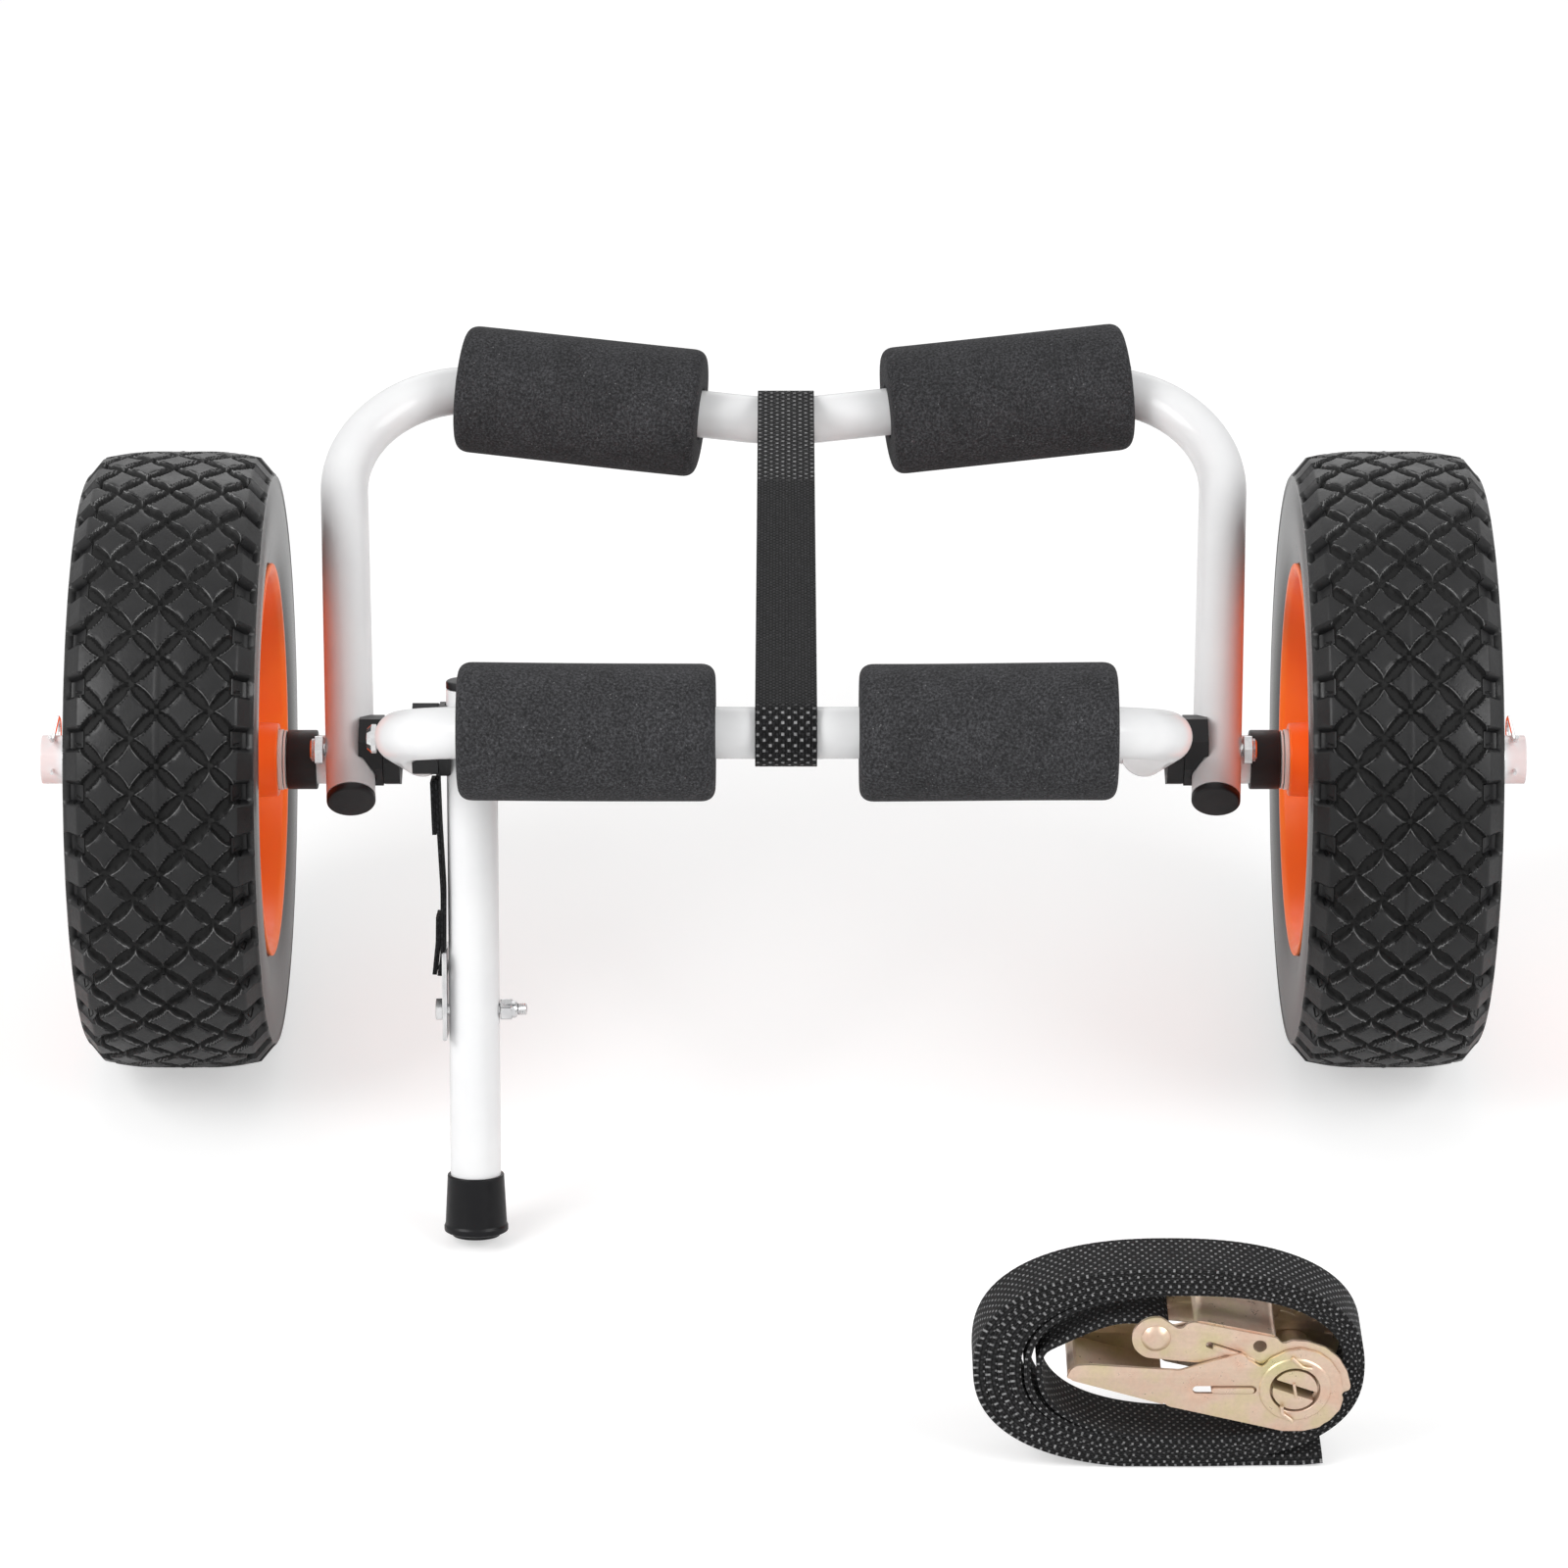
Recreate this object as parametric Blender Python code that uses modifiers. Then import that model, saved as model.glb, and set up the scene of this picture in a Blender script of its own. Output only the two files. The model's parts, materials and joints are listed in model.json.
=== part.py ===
"""Folding launching trolley for a kayak, with the ratchet strap that ties the boat down.

Two U-shaped tube frames cross like an X on a fold pivot, foam pads on their bars carry the hull,
a webbing strap between the bars limits the opening, and a stand hinged on the left front leg keeps
the empty trolley level. Metres, +Z up, wheels on the ground at z = 0, X along the axle, and the
stand towards -Y. Each leg frame is laid out flat in its own plane: x across, s up the leg.
"""

import math

import bmesh
import bpy
import numpy as np
from mathutils import Matrix, Vector

# Clearances
TOUCH_GAP = 0.0003
PAD_GAP = 0.0010
RUNNING_GAP = 0.0004
BOLT_GAP = 0.0003

# Tube of the frames, the stub axles and the stand
TUBE_R = 0.0100
TUBE_WALL = 0.0015

# Wheels
WHEEL_R = 0.1270
AXLE_Y = 0.0867
TYRE_WIDTH = 0.0850
TYRE_INNER_X = 0.2000
TREAD_WIDTH = 0.0630
TREAD_PITCHES = 36
TREAD_ROWS = 3
TREAD_DEPTH = 0.0040
GROOVE = 0.0046
CROWN_DROP = 0.0025
RIM_SEAT_R = 0.0765
RIM_LIP_R = 0.0810
RIM_LIP = 0.0018
RIM_WALL = 0.0042
RIM_WEB = 0.0060
HUB_R = 0.0150
HUB_OUTER_X = 0.2980
BUSH_WALL = 0.0018
BUSH_FLANGE = 0.0016
BUSH_LENGTH = 0.0180
WASHER_R = 0.0140
WASHER = 0.0010
COLLAR_R = 0.01225
STUB_END_X = 0.3058

# Where each stub is welded on the rear leg, from the fold pivot
STUB_ALONG = 0.0090
STUB_BELOW = 0.0194

# Leg frames
REAR_TILT = math.radians(28.5)
FRONT_TILT = math.radians(28.4)
REAR_HALF = 0.1775
FRONT_HALF = 0.1492
REAR_SPLAY = math.radians(3.2)
BAR_APEX = 0.1702
BAR_SLOPE = math.radians(7.8)
CORNER_R = 0.0520
MIDDLE_R = 0.1100
LEG_TAIL = 0.0228
CAP = 0.0030
CAP_PLUG = 0.0120

# Fold pivot and its saddles
PIVOT_BOLT_R = 0.0030
PIVOT_HEAD_R = 0.0057
PIVOT_HEAD = 0.0030
PIVOT_NUT_R = 0.0056
PIVOT_NUT = 0.0055
BOLT_TAIL = 0.0020
SADDLE_FLATS = 0.0275
REAR_LIP = 0.0058
FRONT_LIP = 0.0026

# Foam pads
REAR_PAD_R = 0.0270
FRONT_PAD_R = 0.0264
REAR_PAD_LENGTH = 0.1030
FRONT_PAD_LENGTH = 0.0990
PAD_ROUND = 0.0090
REAR_PAD_X = (-0.0860, 0.0950)
FRONT_PAD_X = (-0.0750, 0.0780)

# Strap that limits the opening
STRAP_WIDTH = 0.0250
STRAP = 0.0016
STRAP_LAP = 0.0450
STRAP_X = 0.0010

# Stand
STAND_ALONG = 0.1170
STAND_X = -0.1220
STAND_LEAN = math.radians(15.7)
STAND_TAIL = 0.0200
STAND_LIP = 0.0018
FOOT_TOP_R = 0.0113
FOOT_R = 0.0125
FOOT_HEIGHT = 0.0250
SOLE_R = 0.0095
SOLE_RING = 0.0020
SOLE_DEPTH = 0.0015
STAND_BOLT_R = 0.0030
STAND_HEAD = 0.0040
INSERT_R = 0.0045
INSERT = 0.0090
LINK_BOLT_BELOW = 0.1085
LINK_BOLT_R = 0.0025
LINK_HEAD_R = 0.0043
LINK_HEAD = 0.0027
LINK_NUT = 0.0066
LINK_TAIL = 0.0040
TAB = 0.0018
TAB_WIDTH = 0.0220
TAB_UP = 0.0250
TAB_DOWN = 0.0105
LANYARD = 0.0034
LANYARD_WIDTH = 0.0160

# Spring clip through each axle end
CLIP_X = 0.3006
CLIP_WIRE_R = 0.0008
CLIP_TIP = 0.0130
CLIP_EYE = 0.0160

# Ratchet strap, wound up and standing on its turns
TIE_X = 0.1440
TIE_AHEAD = 0.3295
TIE_WIDTH = 0.0250
TIE_THICK = 0.0010
TIE_TURNS = 6
TIE_OUTER = (0.0725, 0.0425)
TIE_INNER = (0.0545, 0.0290)
TIE_SHIFT = 0.0090
TIE_TAIL = 0.0340
TIE_SQUARE = 0.85
TIE_POINTS = 24
RATCHET_SPINDLE = (0.0460, -0.0060)
RATCHET_BOLT = (-0.0060, 0.0150)
PLATE = 0.0015
PLATE_ROOM = 0.0010
FRAME_END_R = 0.0090
FRAME_ROUND_R = 0.0200
HANDLE_ROUND_R = 0.0180
RATCHET_BOLT_R = 0.0035
SPINDLE_R = 0.0090
SPINDLE_SLOT = 0.0030
DISC_R = 0.0135
DISC = 0.0012

# Sides of the many-sided rounds, and the largest turn between points of a bend
TUBE_SIDES = 12
BORE_SIDES = 8
STUB_SIDES = 20
RING_SIDES = 12
PAD_SIDES = 14
PAD_ROWS = 8
RIM_SIDES = 24
BEND_STEP = math.radians(15)

COLOURS = {
    "silver_tube": ((0.80, 0.80, 0.81), 0.32, 1.0),
    "zinc": ((0.74, 0.75, 0.77), 0.28, 1.0),
    "gold_zinc": ((0.83, 0.68, 0.50), 0.30, 1.0),
    "orange_rim": ((0.93, 0.13, 0.01), 0.38, 0.0),
    "black_tyre": ((0.018, 0.018, 0.020), 0.45, 0.0),
    "black_plastic": ((0.012, 0.012, 0.013), 0.40, 0.0),
    "black_rubber": ((0.015, 0.015, 0.016), 0.70, 0.0),
    "grey_foam": ((0.045, 0.045, 0.048), 0.90, 0.0),
    "black_webbing": ((0.012, 0.012, 0.013), 0.85, 0.0),
    "white_bush": ((0.75, 0.75, 0.72), 0.50, 0.0),
}

for old in list(bpy.data.objects):
    bpy.data.objects.remove(old, do_unlink=True)

TROLLEY = bpy.data.collections.new("launching_trolley")
CUTTERS = bpy.data.collections.new("cutters")
bpy.context.scene.collection.children.link(TROLLEY)
bpy.context.scene.collection.children.link(CUTTERS)


def round_room(radius, gap, sides):
    """Corner radius of a many-sided bore whose flats clear a round of this radius by the gap."""
    return (radius + gap) / math.cos(math.pi / sides)


def flats_r(radius, sides):
    """Distance from the axis to the flats of a many-sided round."""
    return radius * math.cos(math.pi / sides)


def material(name):
    """A Principled BSDF of one named finish, made once."""
    found = bpy.data.materials.get(name)
    if found:
        return found
    colour, roughness, metallic = COLOURS[name]
    made = bpy.data.materials.new(name)
    made.use_nodes = True
    shader = made.node_tree.nodes["Principled BSDF"]
    shader.inputs["Base Color"].default_value = (*colour, 1.0)
    shader.inputs["Roughness"].default_value = roughness
    shader.inputs["Metallic"].default_value = metallic
    return made


def put(obj, finish, parent=None):
    """Links an object to the trolley's collection, under its parent, with its material."""
    TROLLEY.objects.link(obj)
    obj.data.materials.clear()
    obj.data.materials.append(material(finish))
    obj.parent = parent
    if obj.type == "MESH":
        obj.data.shade_smooth()
        obj.data.set_sharp_from_angle(angle=math.radians(35))
    return obj


def empty(name, place, turn=0.0, parent=None):
    """An empty at a joint, turned about X, that carries what moves on it."""
    made = bpy.data.objects.new(name, None)
    TROLLEY.objects.link(made)
    made.parent = parent
    made.location = place
    made.rotation_euler = (turn, 0.0, 0.0)
    made.empty_display_size = 0.03
    return made


def loop_mesh(name, rings, closed_profile):
    """Screw of a profile about Z: (radius, height) points, outer side first, top to bottom."""
    profile, steps = rings
    mesh = bpy.data.meshes.new(name)
    last = len(profile)
    edges = [(i, i + 1) for i in range(last - 1)]
    if closed_profile:
        edges.append((last - 1, 0))
    mesh.from_pydata([(r, 0.0, h) for r, h in profile], edges, [])
    obj = bpy.data.objects.new(name, mesh)
    screw = obj.modifiers.new("turn", "SCREW")
    screw.steps = steps
    screw.render_steps = steps
    screw.use_merge_vertices = True
    screw.merge_threshold = 0.00001
    screw.use_normal_calculate = False
    return obj


def baked(obj):
    """The object's evaluated mesh as a plain mesh object of the same name and place."""
    linked = not obj.users_collection
    if linked:
        CUTTERS.objects.link(obj)
    bpy.context.view_layer.update()
    graph = bpy.context.evaluated_depsgraph_get()
    mesh = bpy.data.meshes.new_from_object(obj.evaluated_get(graph))
    work = bmesh.new()
    work.from_mesh(mesh)
    bmesh.ops.remove_doubles(work, verts=work.verts, dist=0.000005)
    work.to_mesh(mesh)
    work.free()
    name = obj.name
    place = obj.matrix_world.copy()
    bpy.data.objects.remove(obj, do_unlink=True)
    made = bpy.data.objects.new(name, mesh)
    made.matrix_world = place
    return made


def moved(obj, change):
    """A mesh object whose mesh is moved by a matrix, with the object left at its origin."""
    obj.data.transform(change @ obj.matrix_world)
    obj.matrix_world = Matrix()
    return obj


def turned(name, profile, axis="X", at=(0.0, 0.0, 0.0), steps=32, closed=True):
    """A turned solid about the X, Y or Z axis through a point."""
    obj = baked(loop_mesh(name, (profile, steps), closed))
    turn = {
        "X": Matrix.Rotation(math.pi / 2, 4, "Y"),
        "Y": Matrix.Rotation(-math.pi / 2, 4, "X"),
        "Z": Matrix(),
    }[axis]
    return moved(obj, Matrix.Translation(at) @ turn)


def rod(name, radius, start, end, sides=24, turn=0.0):
    """A straight cylinder between two points."""
    start, end = Vector(start), Vector(end)
    way = end - start
    mesh = bpy.data.meshes.new(name)
    work = bmesh.new()
    bmesh.ops.create_cone(
        work, cap_ends=True, segments=sides, radius1=radius, radius2=radius, depth=way.length
    )
    bmesh.ops.rotate(work, verts=work.verts, matrix=Matrix.Rotation(turn, 3, "Z"))
    work.to_mesh(mesh)
    work.free()
    mesh.transform(Matrix.Translation((start + end) / 2) @ way.to_track_quat("Z", "Y").to_matrix().to_4x4())
    return bpy.data.objects.new(name, mesh)


def box(name, low, high, bevel=0.0):
    """A box between two corners, its edges bevelled."""
    mesh = bpy.data.meshes.new(name)
    work = bmesh.new()
    bmesh.ops.create_cube(work, size=1.0)
    size = [b - a for a, b in zip(low, high)]
    bmesh.ops.scale(work, vec=size, verts=work.verts)
    bmesh.ops.translate(work, vec=[(a + b) / 2 for a, b in zip(low, high)], verts=work.verts)
    if bevel:
        bmesh.ops.bevel(work, geom=work.edges, offset=bevel, segments=1, affect="EDGES")
    work.to_mesh(mesh)
    work.free()
    return bpy.data.objects.new(name, mesh)


def pipe(name, points, radius, resolution):
    """A bent round bar along points, as a closed mesh: 2 * resolution + 4 sides."""
    curve = bpy.data.curves.new(name, "CURVE")
    curve.dimensions = "3D"
    spline = curve.splines.new("POLY")
    spline.points.add(len(points) - 1)
    for point, place in zip(spline.points, points):
        point.co = (*place, 1.0)
    curve.bevel_depth = radius
    curve.bevel_resolution = resolution
    curve.use_fill_caps = True
    return baked(bpy.data.objects.new(name, curve))


def plate(name, outline, low_y, high_y):
    """A flat outline of (x, z) points as a plate across Y."""
    curve = bpy.data.curves.new(name, "CURVE")
    curve.dimensions = "2D"
    curve.fill_mode = "BOTH"
    curve.extrude = (high_y - low_y) / 2
    spline = curve.splines.new("POLY")
    spline.points.add(len(outline) - 1)
    for point, (x, z) in zip(spline.points, outline):
        point.co = (x, z, 0.0, 1.0)
    spline.use_cyclic_u = True
    made = baked(bpy.data.objects.new(name, curve))
    stand_up = Matrix.Translation((0.0, (low_y + high_y) / 2, 0.0)) @ Matrix.Rotation(math.pi / 2, 4, "X")
    return moved(made, stand_up)


def combine(obj, others, how, solver="EXACT"):
    """Boolean of an object with each of the others, as modifiers that stay on the object."""
    for index, other in enumerate(others):
        CUTTERS.objects.link(other)
        other.hide_render = True
        other.display_type = "WIRE"
        other.parent = obj.parent
        change = obj.modifiers.new(f"{how.lower()}_{index}", "BOOLEAN")
        change.operation = how
        change.solver = solver
        change.object = other
    return obj


def arc(centre, radius, start, end, steps):
    """Points round part of a circle, in degrees."""
    turns = np.radians(np.linspace(start, end, steps + 1))
    return [(centre[0] + radius * math.cos(a), centre[1] + radius * math.sin(a)) for a in turns]


def rounded_path(corners, radii):
    """A polyline whose inner corners are arcs of the given radii, with points along them."""
    path = [Vector(corners[0])]
    for before, here, after, radius in zip(corners, corners[1:], corners[2:], radii):
        here = Vector(here)
        back = (Vector(before) - here).normalized()
        on = (Vector(after) - here).normalized()
        half = back.angle(on) / 2
        centre = here + (back + on).normalized() * radius / math.sin(half)
        first = here + back * radius / math.tan(half) - centre
        sweep = math.pi - 2 * half
        turn_axis = back.cross(on)
        count = max(2, math.ceil(sweep / BEND_STEP))
        for index in range(count + 1):
            path.append(centre + Matrix.Rotation(-sweep * index / count, 3, turn_axis) @ first)
    path.append(Vector(corners[-1]))
    return path


# Axes of the two leg frames
REAR_UP = Vector((0.0, math.cos(REAR_TILT), math.sin(REAR_TILT)))
REAR_UNDER = Vector((0.0, math.sin(REAR_TILT), -math.cos(REAR_TILT)))
FRONT_UP = Vector((0.0, -math.cos(FRONT_TILT), math.sin(FRONT_TILT)))
AXLE = Vector((0.0, AXLE_Y, WHEEL_R))
PIVOT = AXLE - REAR_UP * STUB_ALONG - REAR_UNDER * STUB_BELOW
rear_axes = empty("rear_frame_axes", PIVOT, REAR_TILT)
front_axes = empty("front_frame_axes", PIVOT, math.pi - FRONT_TILT)


def bar_s(x):
    """How far up the legs the bar lies at a distance across, away from its bends."""
    return BAR_APEX + abs(x) * math.tan(BAR_SLOPE)


def u_path(half, splay, ends_at):
    """The centreline of a leg frame: leg, corner, bar with its shallow middle bend, corner, leg."""
    lean = math.tan(splay)
    corner_x = (half + BAR_APEX * lean) / (1 - math.tan(BAR_SLOPE) * lean)
    foot_x = half + ends_at * lean
    corners = [
        (-foot_x, ends_at, 0.0),
        (-corner_x, bar_s(corner_x), 0.0),
        (0.0, BAR_APEX, 0.0),
        (corner_x, bar_s(corner_x), 0.0),
        (foot_x, ends_at, 0.0),
    ]
    return rounded_path(corners, (CORNER_R, MIDDLE_R, CORNER_R))


def u_frame(name, half, splay, parent):
    """One leg frame as an open tube, still to be drilled."""
    outer = pipe(name, u_path(half, splay, -LEG_TAIL), TUBE_R, TUBE_SIDES // 2 - 2)
    bore = pipe(name + "_bore", u_path(half, splay, -LEG_TAIL - TUBE_R), TUBE_R - TUBE_WALL, BORE_SIDES // 2 - 2)
    put(outer, "silver_tube", parent)
    return combine(outer, [bore], "DIFFERENCE")


def across(name, radius, low_x, high_x, s=0.0, n=0.0, sides=16):
    """A rod along X in a leg frame's own axes."""
    return rod(name, radius, (low_x, s, n), (high_x, s, n), sides)


# Rear frame with its two welded stub axles
rear_frame = u_frame("rear_frame", REAR_HALF, REAR_SPLAY, rear_axes)
STUB_BORE = TUBE_R - TUBE_WALL
STUB_START_X = REAR_HALF - TUBE_R + REAR_LIP + 2 * TOUCH_GAP
for side in (-1, 1):
    start = side * STUB_START_X
    end = side * STUB_END_X
    stub = across(f"stub_{side}", TUBE_R, start, end, STUB_ALONG, -STUB_BELOW, STUB_SIDES)
    combine(rear_frame, [stub], "UNION")
for side in (-1, 1):
    leg = side * REAR_HALF
    bore_start = side * (STUB_START_X - TUBE_R)
    bore_end = side * (STUB_END_X + TUBE_R)
    bore = across(f"stub_bore_{side}", STUB_BORE, bore_start, bore_end, STUB_ALONG, -STUB_BELOW, RING_SIDES)
    hole = across(f"rear_hole_{side}", PIVOT_BOLT_R + BOLT_GAP, leg - 0.02, leg + 0.02)
    clip_hole = rod(
        f"clip_hole_{side}",
        CLIP_WIRE_R + RUNNING_GAP,
        Matrix.Rotation(-REAR_TILT, 3, "X") @ Vector((side * CLIP_X, -0.03, 0.0))
        + Vector((0.0, STUB_ALONG, -STUB_BELOW)),
        Matrix.Rotation(-REAR_TILT, 3, "X") @ Vector((side * CLIP_X, 0.03, 0.0))
        + Vector((0.0, STUB_ALONG, -STUB_BELOW)),
        12,
    )
    combine(rear_frame, [bore, hole, clip_hole], "DIFFERENCE")

# Front frame, drilled for the fold pivot and the stand's pivot
front_frame = u_frame("front_frame", FRONT_HALF, 0.0, front_axes)
for side in (-1, 1):
    leg = side * FRONT_HALF
    hole = across(f"front_hole_{side}", PIVOT_BOLT_R + BOLT_GAP, leg - 0.02, leg + 0.02)
    combine(front_frame, [hole], "DIFFERENCE")
stand_hole = across(
    "stand_hole", STAND_BOLT_R + BOLT_GAP, -FRONT_HALF - 0.02, -FRONT_HALF + 0.02, STAND_ALONG
)
combine(front_frame, [stand_hole], "DIFFERENCE")


def tube_cap(name, at, way, parent, plug=CAP_PLUG):
    """A plastic cap that ends flush with the tube, on a plug pushed into its bore."""
    plug_r = flats_r(TUBE_R - TUBE_WALL, BORE_SIDES) - TOUCH_GAP
    face = TOUCH_GAP + CAP
    profile = [
        (0.0, face),
        (TUBE_R - 0.0008, face),
        (TUBE_R, face - 0.0008),
        (TUBE_R, TOUCH_GAP),
        (plug_r, TOUCH_GAP),
        (plug_r, -plug),
        (0.0, -plug),
    ]
    cap = turned(name, profile, "Z", steps=RING_SIDES, closed=False)
    cap.data.transform(Matrix.Translation(at) @ Vector(way).to_track_quat("Z", "Y").to_matrix().to_4x4())
    return put(cap, "black_plastic", parent)


for side, word in ((-1, "left"), (1, "right")):
    foot = (side * (REAR_HALF - LEG_TAIL * math.tan(REAR_SPLAY)), -LEG_TAIL, 0.0)
    way = (-side * math.tan(REAR_SPLAY), -1.0, 0.0)
    tube_cap(f"{word}_rear_leg_cap", foot, way, rear_axes)
    tube_cap(f"{word}_front_leg_cap", (side * FRONT_HALF, -LEG_TAIL, 0.0), (0.0, -1.0, 0.0), front_axes)


def saddle(name, flat_x, back_x, tube_x, bolt_r, finish_parent, s=0.0, lean=0.0):
    """Half of a pivot spacer: an eight-sided block, flat towards its twin, hollowed for its tube."""
    outer = SADDLE_FLATS / 2 / math.cos(math.pi / 8)
    block = rod(name, outer, (flat_x, s, 0.0), (back_x, s, 0.0), 8, math.pi / 8)
    put(block, "black_plastic", finish_parent)
    room = round_room(TUBE_R, TOUCH_GAP, RING_SIDES)
    along = Vector((math.tan(lean), 1.0, 0.0)).normalized() * 0.03
    seat = rod(name + "_seat", room, Vector((tube_x, s, 0)) - along, Vector((tube_x, s, 0)) + along, RING_SIDES)
    hole = across(name + "_hole", bolt_r + BOLT_GAP, flat_x - 0.03, flat_x + 0.03, s)
    return combine(block, [seat, hole], "DIFFERENCE")


SADDLE_X = (REAR_HALF + FRONT_HALF) / 2
for side, word in ((-1, "left"), (1, "right")):
    saddle(
        f"{word}_rear_saddle",
        side * (SADDLE_X + TOUCH_GAP / 2),
        side * (REAR_HALF - TUBE_R + REAR_LIP),
        side * REAR_HALF,
        PIVOT_BOLT_R,
        rear_axes,
        lean=side * REAR_SPLAY,
    )
    saddle(
        f"{word}_front_saddle",
        side * (SADDLE_X - TOUCH_GAP / 2),
        side * (FRONT_HALF + TUBE_R - FRONT_LIP),
        side * FRONT_HALF,
        PIVOT_BOLT_R,
        front_axes,
    )


def bolt(name, x_head, x_end, radius, head_r, head, parent, s=0.0, head_sides=RING_SIDES):
    """A bolt along X: a domed head, whose inner face is at x_head, and a shank to x_end."""
    way = 1 if x_end > x_head else -1
    length = abs(x_end - x_head)
    profile = [
        (0.0, length),
        (radius - 0.0004, length),
        (radius, length - 0.0005),
        (radius, 0.0),
        (head_r, 0.0),
        (head_r, -0.45 * head),
        (0.72 * head_r, -0.88 * head),
        (0.0, -head),
    ]
    made = turned(name, profile, "Z", steps=head_sides, closed=False)
    made.data.transform(
        Matrix.Translation((x_head, s, 0.0)) @ Vector((way, 0.0, 0.0)).to_track_quat("Z", "Y").to_matrix().to_4x4()
    )
    return put(made, "zinc", parent)


def nut(name, low_x, high_x, radius, bore, parent, s=0.0):
    """A six-sided nut with chamfered corners, bored for its bolt."""
    made = rod(name, radius / math.cos(math.pi / 6), (low_x, s, 0.0), (high_x, s, 0.0), 6)
    put(made, "zinc", parent)
    hole = across(name + "_bore", bore + 0.0002, low_x - 0.01, high_x + 0.01, s, sides=16)
    return combine(made, [hole], "DIFFERENCE")


# Fold pivot bolts: head inside the front leg, nut outside the rear leg
for side, word in ((-1, "left"), (1, "right")):
    nut_face = REAR_HALF + TUBE_R + PIVOT_NUT_R * math.tan(REAR_SPLAY) + TOUCH_GAP
    bolt(
        f"{word}_pivot_bolt",
        side * (FRONT_HALF - TUBE_R - TOUCH_GAP),
        side * (nut_face + PIVOT_NUT + BOLT_TAIL),
        PIVOT_BOLT_R,
        PIVOT_HEAD_R,
        PIVOT_HEAD,
        front_axes,
    )
    low, high = sorted((side * nut_face, side * (nut_face + PIVOT_NUT)))
    nut(f"{word}_pivot_nut", low, high, PIVOT_NUT_R, PIVOT_BOLT_R, front_axes)


def path_frames(path):
    """Distance along a path at each of its points."""
    points = np.array([tuple(p) for p in path])
    return points, np.concatenate([[0.0], np.cumsum(np.linalg.norm(np.diff(points, axis=0), axis=1))])


def pad(name, x, radius, length, half, splay, parent):
    """A foam sleeve with rounded ends, bent along the bar where the bar bends."""
    inner = round_room(TUBE_R, PAD_GAP, PAD_SIDES)
    reach = length / 2
    turns = np.linspace(0.0, math.pi / 2, 3)
    upper = [
        (radius - PAD_ROUND * (1 - math.sin(a)), reach - PAD_ROUND * (1 - math.cos(a))) for a in turns
    ]
    rows = np.linspace(reach - PAD_ROUND, PAD_ROUND - reach, PAD_ROWS)
    lower = [(r, -h) for r, h in reversed(upper)]
    walls = [(radius, h) for h in rows[1:-1]]
    bore = [(inner, h) for h in np.linspace(-reach, reach, PAD_ROWS)]
    made = turned(name, upper + walls + lower + bore, "X", steps=PAD_SIDES)
    points, run = path_frames(u_path(half, splay, -LEG_TAIL))
    centre = np.interp(x, points[:, 0], run)
    places = np.array([tuple(v.co) for v in made.data.vertices])
    along = np.clip(centre + places[:, 0], 0.0, run[-1])
    step = 0.004
    spine = np.stack([np.interp(along, run, points[:, k]) for k in range(3)], axis=1)
    before = np.stack([np.interp(along - step, run, points[:, k]) for k in range(3)], axis=1)
    after = np.stack([np.interp(along + step, run, points[:, k]) for k in range(3)], axis=1)
    tangent = (after - before) / np.linalg.norm(after - before, axis=1)[:, None]
    side_way = np.stack([-tangent[:, 1], tangent[:, 0], np.zeros(len(tangent))], axis=1)
    bent = spine + side_way * places[:, 1:2]
    bent[:, 2] += places[:, 2]
    made.data.vertices.foreach_set("co", bent.astype(np.float32).ravel())
    made.data.update()
    return put(made, "grey_foam", parent)


for word, x in zip(("left", "right"), REAR_PAD_X):
    pad(f"{word}_rear_pad", x, REAR_PAD_R, REAR_PAD_LENGTH, REAR_HALF, REAR_SPLAY, rear_axes)
for word, x in zip(("left", "right"), FRONT_PAD_X):
    pad(f"{word}_front_pad", x, FRONT_PAD_R, FRONT_PAD_LENGTH, FRONT_HALF, 0.0, front_axes)


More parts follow.
